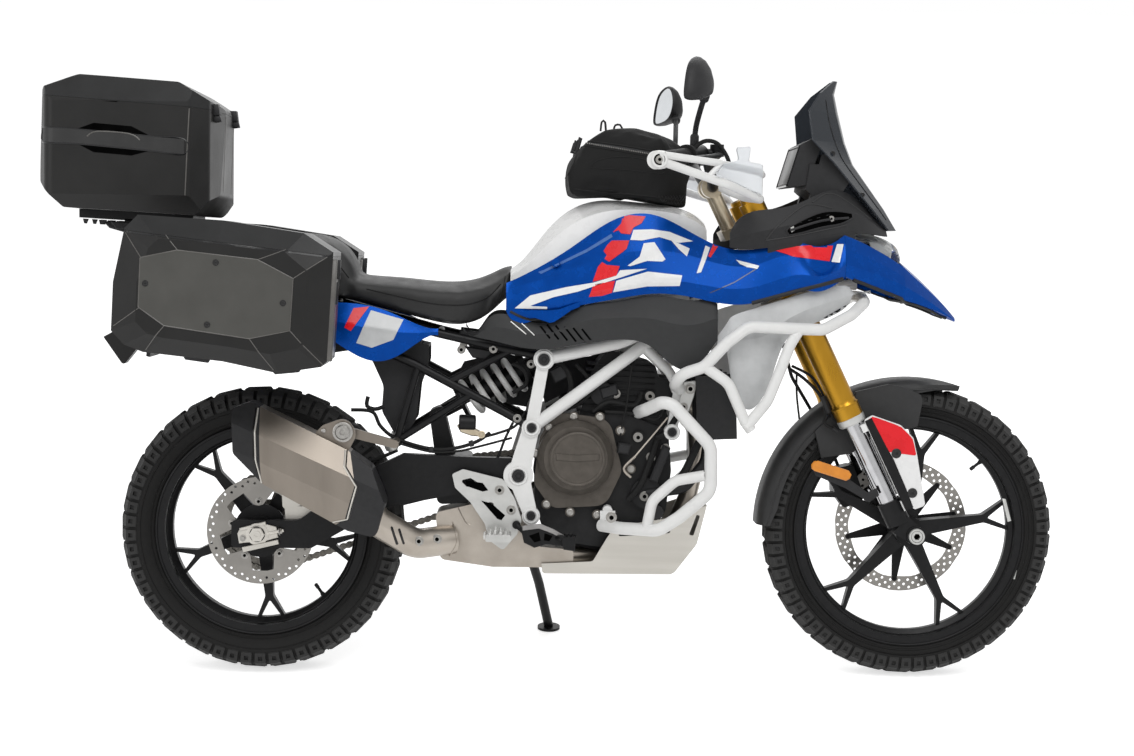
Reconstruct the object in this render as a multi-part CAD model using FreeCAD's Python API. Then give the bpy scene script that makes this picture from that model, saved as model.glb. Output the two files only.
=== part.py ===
import FreeCAD, Part
import math
import os

# Adventure motorcycle with cases, in millimetres.
# It is modelled upright: +X forward from the rear axle line, +Y to the left, +Z up from
# the ground. At the end every piece is leaned over onto the side stand in one move.

V = FreeCAD.Vector
ORIGIN = V(0, 0, 0)
ACROSS = V(0, 1, 0)
UPWARD = V(0, 0, 1)
FORWARD = V(1, 0, 0)

# Stance
LEAN = 9.5
WHEELBASE = 1465.0

# Wheels
FRONT_TYRE_R = 331.0
FRONT_TYRE_W = 100.0
FRONT_RIM_R = 259.0
FRONT_RIM_W = 76.0
REAR_TYRE_R = 320.0
REAR_TYRE_W = 130.0
REAR_RIM_R = 234.0
REAR_RIM_W = 102.0
RIM_LIP = 5.0
RIM_SEAT_DROP = 12.0
RIM_WELL_DROP = 24.0
RIM_WALL = 5.0
SPOKES = 5
SPOKE_SPLIT = 0.76
SPOKE_SPREAD = 8.8
SPOKE_ARM = 2.2
FRONT_SPOKE_PHASE = 9.0
REAR_SPOKE_PHASE = -13.0
HUB_R = 34.0
HUB_HALF = 60.0
AXLE_R = 10.0
RUNNING_GAP = 0.05
SEAT_GAP = 0.3

# Axle heights that put both round treads on the ground when leaned
TILT = math.cos(math.radians(LEAN))
FRONT_AXLE_Z = FRONT_TYRE_R + FRONT_TYRE_W / 2 * (1 / TILT - 1)
REAR_AXLE_Z = REAR_TYRE_R + REAR_TYRE_W / 2 * (1 / TILT - 1)

# Brakes and final drive
FRONT_DISC_R = 153.0
FRONT_DISC_BAND = 32.0
REAR_DISC_R = 120.0
REAR_DISC_BAND = 28.0
DISC_T = 4.5
PAD_GAP = 5.0
CHAIN_Y = 83.0
CHAIN_PITCH = 15.875
REAR_TEETH = 43
FRONT_TEETH = 15
TOOTH_T = 6.0
CHAIN_SIDE_GAP = 0.6
CHAIN_PLATE_T = 2.0
CHAIN_PLATE_H = 15.0
FRONT_SPROCKET_X = 612.0
FRONT_SPROCKET_Z = 455.0

# Steering and fork
RAKE = 26.0
AXLE_LEAD = 21.0
STEER_BEHIND = 32.0
LEG_Y = 105.0
OUTER_TUBE_R = 28.0
COLLAR_R = 31.0
INNER_TUBE_R = 21.5
LUG_R = 27.0
LUG_TOP = 96.0
LUG_TAPER = 40.0
AXLE_SOCKET_R = 7.0
AXLE_SOCKET_DEEP = 40.0
OUTER_TUBE_BOTTOM = 296.0
OUTER_TUBE_TOP = 832.0
INNER_TUBE_TOP = 600.0
LOWER_YOKE_S = 575.0
LOWER_YOKE_T = 32.0
UPPER_YOKE_S = 775.0
UPPER_YOKE_T = 22.0
STEM_R = 14.0
HEAD_TUBE_R = 27.0
STEM_GAP = 0.3
YOKE_GAP = 5.0
RISER_N = -58.0
BAR_S = 897.0
BAR_R = 12.0
GRIP_R = 17.0
BAR_END_Y = 432.0

# Frame
FRAME_Y = 136.0
FRAME_PLATE_T = 18.0
FRAME_TUBE_R = 14.0
PIVOT_X = 575.0
PIVOT_Z = 459.0
SUBFRAME_Y = 103.0
SUBFRAME_TUBE_R = 10.0
STRUT_R = 8.0

# Swingarm
SWINGARM_IN = 98.0
SWINGARM_OUT = 125.0

# Stand: the foot rests on the ground when the machine leans
STAND_PIVOT = V(600, 138, 262)
STAND_AXIS = V(-0.175, 1, 0.2).normalize()
STAND_FOOT_X = 655.0
STAND_FOOT_Y = 268.0
STAND_LEG_R = 11.0
STAND_FOOT_T = 6.0
STAND_PIN_R = 6.0
STAND_SWING = 95.0

# Cases
CASE_WALL = 4.0
CASE_GAP = 0.5
HINGE_OUT = 1.0
PANNIER_LID_SWING = 45.0
TOP_LID_SWING = 80.0
PANNIER_IN = 252.0
PANNIER_OUT = 446.0
PANNIER_FACE = 482.0
TOP_CASE_HALF = 243.0
RACK_TUBE_R = 8.0

# Bodywork
PANEL_T = 7.0
SCREEN_T = 4.0

# Row frame: middle of the leaned machine's box, on the ground
ROW_X = (WHEELBASE + FRONT_TYRE_R - 461.0) / 2
ROW_Y = 168.0


def corner_wire(outline, place):
    """Closed wire through an outline; a third number in a corner rounds it."""
    spans = []
    count = len(outline)
    for i, corner in enumerate(outline):
        point = place(corner[0], corner[1])
        if len(corner) == 2:
            spans.append((point, None, point))
            continue
        back = (place(*outline[i - 1][:2]) - point).normalize()
        ahead = (place(*outline[(i + 1) % count][:2]) - point).normalize()
        half = back.getAngle(ahead) / 2
        run = corner[2] / math.tan(half)
        reach = corner[2] / math.sin(half) - corner[2]
        middle = point + (back + ahead).normalize() * reach
        spans.append((point + back * run, middle, point + ahead * run))
    edges = []
    for i, (start, middle, end) in enumerate(spans):
        if middle is not None:
            edges.append(Part.Arc(start, middle, end).toShape())
        following = spans[(i + 1) % count][0]
        if end.distanceToPoint(following) > 1e-4:
            edges.append(Part.LineSegment(end, following).toShape())
    return Part.Wire(edges)


def plate(outline, y_low, y_high):
    """Prism across the machine from an outline in side view (x, z)."""
    wire = corner_wire(outline, lambda x, z: V(x, y_low, z))
    return Part.Face(wire).extrude(ACROSS * (y_high - y_low))


def slab(outline, z_low, z_high):
    """Upright prism from an outline in plan (x, y)."""
    wire = corner_wire(outline, lambda x, y: V(x, y, z_low))
    return Part.Face(wire).extrude(UPWARD * (z_high - z_low))


def rod(start, end, radius):
    return Part.makeCylinder(radius, (end - start).Length, start, end - start)


def cross_rod(x, z, radius, y_low, y_high):
    return Part.makeCylinder(radius, y_high - y_low, V(x, y_low, z), ACROSS)


def tube(points, radius, bend):
    """Round bar along straight runs joined by tangent arcs."""
    route = [V(*p) for p in points]
    edges = []
    start = route[0]
    for i in range(1, len(route) - 1):
        corner = route[i]
        back = (route[i - 1] - corner).normalize()
        ahead = (route[i + 1] - corner).normalize()
        half = back.getAngle(ahead) / 2
        room = 0.45 * min(corner.distanceToPoint(route[i - 1]), corner.distanceToPoint(route[i + 1]))
        run = min(bend / math.tan(half), room)
        arc_r = run * math.tan(half)
        middle = corner + (back + ahead).normalize() * (arc_r / math.sin(half) - arc_r)
        first = corner + back * run
        last = corner + ahead * run
        edges.append(Part.LineSegment(start, first).toShape())
        edges.append(Part.Arc(first, middle, last).toShape())
        start = last
    edges.append(Part.LineSegment(start, route[-1]).toShape())
    ring = Part.Wire(Part.makeCircle(radius, route[0], route[1] - route[0]))
    bar = Part.Wire(edges).makePipeShell([ring], True, True)
    return bar if bar.Volume > 0 else bar.reversed()


def ring_solid(outline, x, z):
    """Solid of revolution about a cross axle at (x, z) from (radius, y) corners."""
    wire = corner_wire(outline, lambda r, y: V(x + r, y, z))
    return Part.Face(wire).revolve(V(x, 0, z), ACROSS, 360)


def fuse(pieces):
    whole = pieces[0].multiFuse(pieces[1:])
    return whole.removeSplitter()


def mirrored(shape):
    return shape.mirror(ORIGIN, ACROSS)


def pair(shape):
    """The right-hand piece and its mirror image on the left."""
    return Part.makeCompound([shape, mirrored(shape)])


def group(pieces):
    return Part.makeCompound(pieces)


def carve(shape, *others):
    """Take the room that other pieces fill out of a shape."""
    for other in others:
        shape = shape.cut(other)
    return shape


def biggest(shape, count):
    """Keep the largest solids, dropping the chips that a cut leaves."""
    solids = sorted(shape.Solids, key=lambda s: -s.Volume)
    return group(solids[:count]) if count > 1 else solids[0]


def link(start, end, r_start, r_end, y_low, y_high):
    """Flat bar in side view between two round ends."""
    along = V(end[0] - start[0], 0, end[1] - start[1])
    side = V(-along.z, 0, along.x).normalize()
    corners = [
        (start[0] + side.x * r_start, start[1] + side.z * r_start),
        (end[0] + side.x * r_end, end[1] + side.z * r_end),
        (end[0] - side.x * r_end, end[1] - side.z * r_end),
        (start[0] - side.x * r_start, start[1] - side.z * r_start),
    ]
    return plate(corners, y_low, y_high)


def skin(stations, thickness):
    """Right-hand body panel lofted through stations (x, [(y, z), ...]) of its outer face."""
    wires = []
    for x, face in stations:
        outer = [V(x, y, z) for y, z in face]
        inner = [V(x, y + thickness, z) for y, z in reversed(face)]
        wires.append(Part.makePolygon(outer + inner + [outer[0]]))
    return Part.makeLoft(wires, True, False)


def hull_loft(stations):
    """Symmetric solid lofted through stations (x, [(half width, z), ...]), top to bottom."""
    wires = []
    for x, side in stations:
        left = [V(x, y, z) for y, z in side]
        right = [V(x, -y, z) for y, z in reversed(side)]
        wires.append(Part.makePolygon(left + right + [left[0]]))
    return Part.makeLoft(wires, True, False)


# Wheels

def tyre(x, z, outer_r, width, rim_r, rim_w):
    half = width / 2
    bead = rim_w / 2 - RIM_LIP - SEAT_GAP
    seat_r = rim_r - RIM_SEAT_DROP + SEAT_GAP
    crown_r = outer_r - half

    def at(r, y):
        return V(x + r, y, z)

    edges = [
        Part.LineSegment(at(seat_r, bead), at(seat_r, -bead)).toShape(),
        Part.LineSegment(at(seat_r, -bead), at(rim_r + 1, -bead)).toShape(),
        Part.LineSegment(at(rim_r + 1, -bead), at(crown_r, -half)).toShape(),
        Part.Arc(at(crown_r, -half), at(outer_r, 0), at(crown_r, half)).toShape(),
        Part.LineSegment(at(crown_r, half), at(rim_r + 1, bead)).toShape(),
        Part.LineSegment(at(rim_r + 1, bead), at(seat_r, bead)).toShape(),
    ]
    return Part.Face(Part.Wire(edges)).revolve(V(x, 0, z), ACROSS, 360)


def spoke(x, z, reach, phase):
    """One Y-shaped spoke, drawn along +X and turned to its place."""
    fork_r = SPOKE_SPLIT * reach
    outer = math.radians(SPOKE_SPREAD)
    inner = math.radians(SPOKE_SPREAD - SPOKE_ARM)
    outline = [
        (HUB_R - 8, -18),
        (fork_r, -9, 20),
        (reach * math.cos(outer), -reach * math.sin(outer)),
        (reach * math.cos(inner), -reach * math.sin(inner)),
        (fork_r + 9, 0, 3),
        (reach * math.cos(inner), reach * math.sin(inner)),
        (reach * math.cos(outer), reach * math.sin(outer)),
        (fork_r, 9, 20),
        (HUB_R - 8, 18),
    ]
    flat = plate(outline, -25, 25)
    flat.rotate(ORIGIN, ACROSS, -phase)
    flat.translate(V(x, 0, z))
    return flat


def cast_rim(x, z, rim_r, rim_w, phase, hub_low, hub_high):
    half = rim_w / 2
    seat_r = rim_r - RIM_SEAT_DROP
    well_r = rim_r - RIM_WELL_DROP
    barrel_r = well_r - RIM_WALL
    barrel = ring_solid(
        [
            (rim_r, -half), (rim_r, -half + RIM_LIP), (seat_r, -half + RIM_LIP),
            (seat_r, -0.3 * half), (well_r, -0.15 * half), (well_r, 0.15 * half),
            (seat_r, 0.3 * half), (seat_r, half - RIM_LIP), (rim_r, half - RIM_LIP),
            (rim_r, half), (seat_r - RIM_WALL, half), (seat_r - RIM_WALL, 0.4 * half),
            (barrel_r, 0.2 * half), (barrel_r, -0.2 * half),
            (seat_r - RIM_WALL, -0.4 * half), (seat_r - RIM_WALL, -half),
        ],
        x, z,
    )
    taper = ring_solid(
        [(8, -24), (HUB_R + 12, -20), (barrel_r + 2, -11), (barrel_r + 2, 11), (HUB_R + 12, 20), (8, 24)],
        x, z,
    )
    spokes = [spoke(x, z, barrel_r + 2, phase + i * 360 / SPOKES) for i in range(SPOKES)]
    star = spokes[0].multiFuse(spokes[1:]).common(taper)
    hub = cross_rod(x, z, HUB_R, hub_low, hub_high)
    bore = cross_rod(x, z, AXLE_R + RUNNING_GAP, hub_low - 1, hub_high + 1)
    return fuse([barrel, star, hub]).cut(bore)


def brake_disc(x, z, outer_r, band, y_low, arms, inner):
    ring = ring_solid(
        [(outer_r, y_low), (outer_r, y_low + DISC_T), (outer_r - band, y_low + DISC_T),
        (outer_r - band, y_low)],
        x, z,
    )
    carrier = ring_solid(
        [(HUB_R + 16, y_low), (HUB_R + 16, y_low + DISC_T), (inner, y_low + DISC_T), (inner, y_low)],
        x, z,
    )
    bars = []
    for i in range(arms):
        bar = plate(
            [(HUB_R + 8, -8), (outer_r - band + 2, -5), (outer_r - band + 2, 5), (HUB_R + 8, 8)],
            y_low, y_low + DISC_T,
        )
        bar.rotate(ORIGIN, ACROSS, i * 360 / arms)
        bar.translate(V(x, 0, z))
        bars.append(bar)
    return fuse([ring, carrier] + bars)


def pitch_radius(teeth):
    return CHAIN_PITCH / (2 * math.sin(math.pi / teeth))


def rear_sprocket():
    outer = pitch_radius(REAR_TEETH) + 5
    ring = ring_solid(
        [
            (outer, CHAIN_Y - TOOTH_T / 2), (outer, CHAIN_Y + TOOTH_T / 2),
            (outer - 26, CHAIN_Y + TOOTH_T / 2), (outer - 26, CHAIN_Y - TOOTH_T / 2),
        ],
        0, REAR_AXLE_Z,
    )
    centre = ring_solid(
        [
            (HUB_R + 18, CHAIN_Y - TOOTH_T / 2), (HUB_R + 18, CHAIN_Y + TOOTH_T / 2),
            (HUB_R + 0.1, CHAIN_Y + TOOTH_T / 2), (HUB_R + 0.1, CHAIN_Y - TOOTH_T / 2),
        ],
        0, REAR_AXLE_Z,
    )
    bars = []
    for i in range(SPOKES):
        bar = plate(
            [(HUB_R + 8, -11), (outer - 24, -8), (outer - 24, 8), (HUB_R + 8, 11)],
            CHAIN_Y - TOOTH_T / 2, CHAIN_Y + TOOTH_T / 2,
        )
        bar.rotate(ORIGIN, ACROSS, i * 360 / SPOKES)
        bar.translate(V(0, 0, REAR_AXLE_Z))
        bars.append(bar)
    return fuse([ring, centre] + bars)


def chain_band(offset, y_low, y_high):
    """Closed band round both sprockets, offset from the pitch line each way."""
    rear = V(0, 0, REAR_AXLE_Z)
    front = V(FRONT_SPROCKET_X, 0, FRONT_SPROCKET_Z)
    along = front - rear
    tilt = math.atan2(along.z, along.x)
    lift = math.acos((pitch_radius(REAR_TEETH) - pitch_radius(FRONT_TEETH)) / along.Length)

    def loop(extra):
        big = pitch_radius(REAR_TEETH) + extra
        small = pitch_radius(FRONT_TEETH) + extra

        def on(centre, radius, angle):
            return V(centre.x + radius * math.cos(angle), y_low, centre.z + radius * math.sin(angle))

        top, bottom = tilt + lift, tilt - lift
        return Part.Wire([
            Part.LineSegment(on(rear, big, top), on(front, small, top)).toShape(),
            Part.Arc(on(front, small, top), on(front, small, tilt), on(front, small, bottom)).toShape(),
            Part.LineSegment(on(front, small, bottom), on(rear, big, bottom)).toShape(),
            Part.Arc(on(rear, big, bottom), on(rear, big, tilt + math.pi), on(rear, big, top)).toShape(),
        ])

    outer = Part.Face(loop(offset)).extrude(ACROSS * (y_high - y_low))
    inner = Part.Face(loop(-offset)).extrude(ACROSS * (y_high - y_low))
    return outer.cut(inner)


def drive_chain():
    inner_face = TOOTH_T / 2 + CHAIN_SIDE_GAP
    near = chain_band(CHAIN_PLATE_H / 2, CHAIN_Y - inner_face - CHAIN_PLATE_T, CHAIN_Y - inner_face)
    far = chain_band(CHAIN_PLATE_H / 2, CHAIN_Y + inner_face, CHAIN_Y + inner_face + CHAIN_PLATE_T)
    rear_r = pitch_radius(REAR_TEETH)
    front_r = pitch_radius(FRONT_TEETH)
    tilt = math.atan2(FRONT_SPROCKET_Z - REAR_AXLE_Z, FRONT_SPROCKET_X)
    span = math.hypot(FRONT_SPROCKET_Z - REAR_AXLE_Z, FRONT_SPROCKET_X)
    lift = math.acos((rear_r - front_r) / span)
    pins = []
    for side in (1, -1):
        angle = tilt + side * lift
        start = V(rear_r * math.cos(angle), 0, REAR_AXLE_Z + rear_r * math.sin(angle))
        end = V(
            FRONT_SPROCKET_X + front_r * math.cos(angle), 0,
            FRONT_SPROCKET_Z + front_r * math.sin(angle),
        )
        links = int((end - start).Length / CHAIN_PITCH)
        for i in range(4, links - 3, 4):
            at = start + (end - start) * (i / links)
            pins.append(plate(
                [(at.x - 4, at.z - 4), (at.x + 4, at.z - 4), (at.x + 4, at.z + 4), (at.x - 4, at.z + 4)],
                CHAIN_Y - inner_face - CHAIN_PLATE_T / 2, CHAIN_Y + inner_face + CHAIN_PLATE_T / 2,
            ))
    return fuse([near, far] + pins)


# Front end, drawn in the fork's own frame: n ahead of the legs, y across, s up the legs

FRONT_AXLE = V(WHEELBASE, 0, FRONT_AXLE_Z)
LEG_UP = V(-math.sin(math.radians(RAKE)), 0, math.cos(math.radians(RAKE)))
LEG_AHEAD = V(math.cos(math.radians(RAKE)), 0, math.sin(math.radians(RAKE)))
LEG_FOOT = FRONT_AXLE - LEG_AHEAD * AXLE_LEAD


def on_fork(n, y, s):
    return LEG_FOOT + LEG_AHEAD * n + ACROSS * y + LEG_UP * s


def to_fork(shape):
    """Move a shape drawn with X ahead and Z up the legs into the fork's place."""
    placed = shape.copy()
    placed.rotate(ORIGIN, ACROSS, -RAKE)
    placed.translate(LEG_FOOT)
    return placed


def leg_rod(radius, low, high, n=0.0, y=LEG_Y):
    return rod(on_fork(n, y, low), on_fork(n, y, high), radius)


def fork_outer_tube():
    body = [
        leg_rod(COLLAR_R, OUTER_TUBE_BOTTOM, OUTER_TUBE_BOTTOM + 34),
        leg_rod(OUTER_TUBE_R, OUTER_TUBE_BOTTOM + 34, OUTER_TUBE_TOP),
        leg_rod(OUTER_TUBE_R - 7, OUTER_TUBE_TOP, OUTER_TUBE_TOP + 10),
    ]
    bore = leg_rod(INNER_TUBE_R + SEAT_GAP, OUTER_TUBE_BOTTOM - 1, INNER_TUBE_TOP + 1)
    return fuse(body).cut(bore)


def fork_bottoms():
    knee = on_fork(0, 0, LUG_TAPER)
    left = [
        leg_rod(LUG_R, LUG_TAPER, LUG_TOP),
        link((knee.x, knee.z), (FRONT_AXLE.x, FRONT_AXLE.z), LUG_R - 2, 21, LEG_Y - 19, LEG_Y + 19),
        cross_rod(FRONT_AXLE.x, FRONT_AXLE.z, 22, LEG_Y - LUG_R + 4, LEG_Y + 23),
        cross_rod(FRONT_AXLE.x, FRONT_AXLE.z, 16, HUB_HALF + 5, LEG_Y),
    ]
    lug = fuse(left)
    end_y = LEG_Y + 28
    axle = cross_rod(FRONT_AXLE.x, FRONT_AXLE.z, AXLE_R + 3, -end_y, -LEG_Y)
    axle = fuse([axle, cross_rod(FRONT_AXLE.x, FRONT_AXLE.z, AXLE_R, -LEG_Y, end_y)])
    socket = cross_rod(FRONT_AXLE.x, FRONT_AXLE.z, AXLE_SOCKET_R, -end_y - 1, -end_y + AXLE_SOCKET_DEEP)
    return fuse([lug, mirrored(lug), axle]).cut(socket)


def yokes():
    lower_plan = [
        (-62, -32, 20), (-38, -143, 18), (38, -143, 18), (12, -50, 30),
        (12, 50, 30), (38, 143, 18), (-38, 143, 18), (-62, 32, 20),
    ]
    upper_plan = [
        (-82, -62, 14), (-36, -141, 16), (36, -141, 16), (6, -50, 30),
        (6, 50, 30), (36, 141, 16), (-36, 141, 16), (-82, 62, 14),
    ]
    lower = slab(lower_plan, LOWER_YOKE_S, LOWER_YOKE_S + LOWER_YOKE_T)
    upper = slab(upper_plan, UPPER_YOKE_S, UPPER_YOKE_S + UPPER_YOKE_T)
    stem = Part.makeCylinder(STEM_R, UPPER_YOKE_S - LOWER_YOKE_S, V(-STEER_BEHIND, 0, LOWER_YOKE_S))
    whole = [lower, upper, stem]
    for y in (-38, 38):
        whole.append(Part.makeCylinder(14, BAR_S - UPPER_YOKE_S, V(RISER_N, y, UPPER_YOKE_S)))
        whole.append(Part.makeCylinder(24, 34, V(RISER_N, y - 17, BAR_S), ACROSS))
    shape = fuse(whole)
    for y in (-LEG_Y, LEG_Y):
        shape = shape.cut(Part.makeCylinder(OUTER_TUBE_R + 0.1, 400, V(0, y, 500)))
    shape = shape.cut(Part.makeCylinder(BAR_R + 0.1, 200, V(RISER_N, -100, BAR_S), ACROSS))
    return to_fork(shape)


BAR_CENTRE = on_fork(RISER_N, 0, BAR_S)
BAR_BEND = V(972, 205, 1172)
BAR_END = V(856, BAR_END_Y, 1146)


def on_grip(share, ahead=0.0, above=0.0):
    """A point beside the left end of the handlebar; share 0 is its bend and 1 its end."""
    return BAR_BEND + (BAR_END - BAR_BEND) * share + FORWARD * ahead + UPWARD * above


def handlebar():
    left = [BAR_END, BAR_BEND, V(BAR_CENTRE.x, 75, BAR_CENTRE.z)]
    right = [V(p.x, -p.y, p.z) for p in reversed(left)]
    return tube([tuple(p) for p in left + right], BAR_R, 60)


def grip():
    sleeve = rod(on_grip(0.46), on_grip(0.93), GRIP_R)
    flange = rod(on_grip(0.43), on_grip(0.46), GRIP_R + 7)
    return fuse([sleeve, flange]).cut(rod(on_grip(0.3), on_grip(1.1), BAR_R + 0.1))


def hand_control():
    housing = rod(on_grip(0.15), on_grip(0.42), 21)
    lever = tube(
        [tuple(on_grip(0.12, 30)), tuple(on_grip(0.3, 58)), tuple(on_grip(0.58, 60)),
        tuple(on_grip(0.84, 52))],
        6, 30,
    )
    perch = rod(on_grip(0.12, 0), on_grip(0.12, 40), 11)
    pot = rod(on_grip(0.12, 34, -6), on_grip(0.12, 34, 20), 15)
    whole = fuse([housing, lever, perch, pot])
    return whole.cut(rod(on_grip(-0.1), on_grip(1.1), BAR_R + 0.1))


def hand_guard():
    boss_at = V(BAR_END.x - 2, BAR_END_Y + 4, BAR_END.z)
    boss = rod(boss_at, boss_at + V(-9, 18, -2), 19)
    lower = tube(
        [(862, 442, 1141), (1000, 400, 1098), (1083, 300, 1071), (1060, 170, 1078), (1022, 118, 1096)], 9, 45,
    )
    upper = tube([(864, 444, 1155), (980, 405, 1142), (1078, 305, 1128), (1086, 270, 1124)], 7.5, 40)
    brace = rod(V(985, 403, 1141), V(958, 412, 1113), 6)
    clamp = rod(V(1024, 118, 1096), V(BAR_CENTRE.x + BAR_R - 2, 96, BAR_CENTRE.z), 9)
    whole = fuse([boss, lower, upper, brace, clamp])
    bar = rod(BAR_BEND, BAR_END + (BAR_END - BAR_BEND) * 0.01, BAR_R + 0.1)
    centre = rod(V(BAR_CENTRE.x, -90, BAR_CENTRE.z), V(BAR_CENTRE.x, 110, BAR_CENTRE.z), BAR_R + 0.1)
    return whole.cut(bar).cut(centre).cut(handlebar())


def guard_shield():
    """Clear hand shield held between the guard's tubes."""
    outline = [
        (0, 1118), (146, 1080), (146, 1144, 6), (100, 1148, 4), (106, 1180, 6), (60, 1176, 6),
        (70, 1150, 6), (20, 1140),
    ]
    sheet = plate(outline, 0, 3)
    sheet.rotate(ORIGIN, UPWARD, -43)
    sheet.translate(V(972, 424, 0))
    return biggest(sheet.cut(hand_guard()), 1)


def mirror():
    stem = tube([(940, 268, 1190), (941, 276, 1222), (939, 352, 1268), (934, 372, 1276)], 6, 24)
    foot = rod(V(940, 266, 1172), V(940, 270, 1206), 9)
    head_outline = [
        (-82, -14, 16), (-66, -54, 16), (30, -60, 16), (76, -40, 16), (70, 14, 26), (22, 62, 26),
        (-46, 56, 28),
    ]
    front = corner_wire([(a * 0.86, b * 0.86, c * 0.86) for a, b, c in head_outline],
        lambda a, b: V(26, a, b))
    back = corner_wire(head_outline, lambda a, b: V(0, a, b))
    head = Part.makeLoft([back, front], True, True)
    head.rotate(ORIGIN, UPWARD, 22)
    head.translate(V(922, 410, 1312))
    whole = fuse([stem, foot, head])
    return biggest(carve(whole, hand_control(), rod(BAR_BEND, BAR_END, BAR_R + 0.2)), 1)


def front_fender():
    """Mudguard shell swept round the wheel, open below, with two stays to the fork."""
    gap = 14
    top_r = FRONT_TYRE_R + gap
    half = FRONT_TYRE_W / 2 + 9
    skirt_r = FRONT_TYRE_R - 22
    wall = 4
    outline = [
        (skirt_r, -half - wall), (top_r - 24, -half - wall, 10), (top_r + wall, -half + 26, 20),
        (top_r + wall, half - 26, 20), (top_r - 24, half + wall, 10), (skirt_r, half + wall),
        (skirt_r, half), (top_r - 26, half, 8), (top_r, half - 26, 16),
        (top_r, -half + 26, 16), (top_r - 26, -half, 8), (skirt_r, -half),
    ]
    wire = corner_wire(outline, lambda r, y: V(WHEELBASE + r, y, FRONT_AXLE_Z))
    shell = Part.Face(wire).revolve(FRONT_AXLE, ACROSS, 106)
    shell.rotate(FRONT_AXLE, ACROSS, -178)
    rear_stay = plate(
        [(1256, 500), (1330, 514, 20), (1372, 560), (1320, 640), (1240, 560)], half + wall - 1, LEG_Y - 31.1,
    )
    side_flap = plate(
        [(1322, 590), (1372, 556), (1472, 572, 16), (1482, 642, 20), (1420, 668, 30), (1330, 650)],
        half + wall - 1, LEG_Y - 31.1,
    )
    stay = fuse([rear_stay, side_flap])
    return fuse([shell, stay, mirrored(stay)]).cut(pair(leg_rod(COLLAR_R + SEAT_GAP, 280, 420)))


def fork_guard():
    """Stone guard ahead of the inner tube, held by two ribs that hug the leg."""
    outside = LEG_Y + 24
    outline = [(22, 288, 6), (44, 290, 6), (92, 243, 16), (106, 205, 14), (97, 165, 10), (67, 56, 8),
        (42, 58, 6), (22, 100)]
    side = plate(outline, outside, outside + 4)
    rim = plate([(90, 244), (105, 206, 8), (96, 165, 8), (66, 60), (61, 60), (90, 166, 8), (99, 205, 8),
        (86, 239)],
                outside - 22, outside + 2)
    low_rib = plate([(20, 64), (52, 64), (56, 88), (20, 88)], LEG_Y - 8, outside + 2)
    high_rib = plate([(10, 262), (44, 262), (44, 280), (10, 280)], LEG_Y - 8, outside + 2)
    whole = to_fork(fuse([side, rim, low_rib, high_rib]))
    return carve(whole, leg_rod(LUG_R + SEAT_GAP, 0, LUG_TOP + 1),
        leg_rod(INNER_TUBE_R + SEAT_GAP, LUG_TOP - 10, 296))


def front_brake():
    """Caliper behind the left leg, with the hose down from the lower yoke."""
    y_disc = HUB_HALF + 4
    body = [(-84, 96, 10), (-30, 96, 12), (-22, 180, 12), (-70, 190, 16), (-92, 140, 12)]
    block = to_fork(plate(body, y_disc - 22, LEG_Y - 8))
    lug = to_fork(plate([(-40, 96), (-18, 96), (-18, 176), (-40, 176)], LEG_Y - 20, LEG_Y + 12))
    slot = ring_solid(
        [
            (FRONT_DISC_R + 6, y_disc - PAD_GAP), (FRONT_DISC_R + 6, y_disc + DISC_T + PAD_GAP),
            (FRONT_DISC_R - 70, y_disc + DISC_T + PAD_GAP), (FRONT_DISC_R - 70, y_disc - PAD_GAP),
        ],
        FRONT_AXLE.x, FRONT_AXLE.z,
    )
    hose = tube(
        [
            tuple(on_fork(-45, 60, LOWER_YOKE_S - 1)), tuple(on_fork(-50, 62, 500)),
                tuple(on_fork(-62, 84, 420)),
            tuple(on_fork(-52, 100, 330)), tuple(on_fork(-46, 104, 250)), tuple(on_fork(-50, 92, 182)),
        ],
        4, 60,
    )
    whole = fuse([block.cut(slot), lug.cut(slot), hose])
    return whole.cut(leg_rod(INNER_TUBE_R + SEAT_GAP, LUG_TOP, 300)).cut(leg_rod(LUG_R + 0.1, -26, LUG_TOP))


# Frame, engine and running gear

BOSS_A = (628, 717)
BOSS_B = (602, 565)
PIVOT = (PIVOT_X, PIVOT_Z)
BOSS_D = (604, 370)
FRONT_MOUNT = (929, 655)
HEAD_BOLT = (915, 558)


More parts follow.
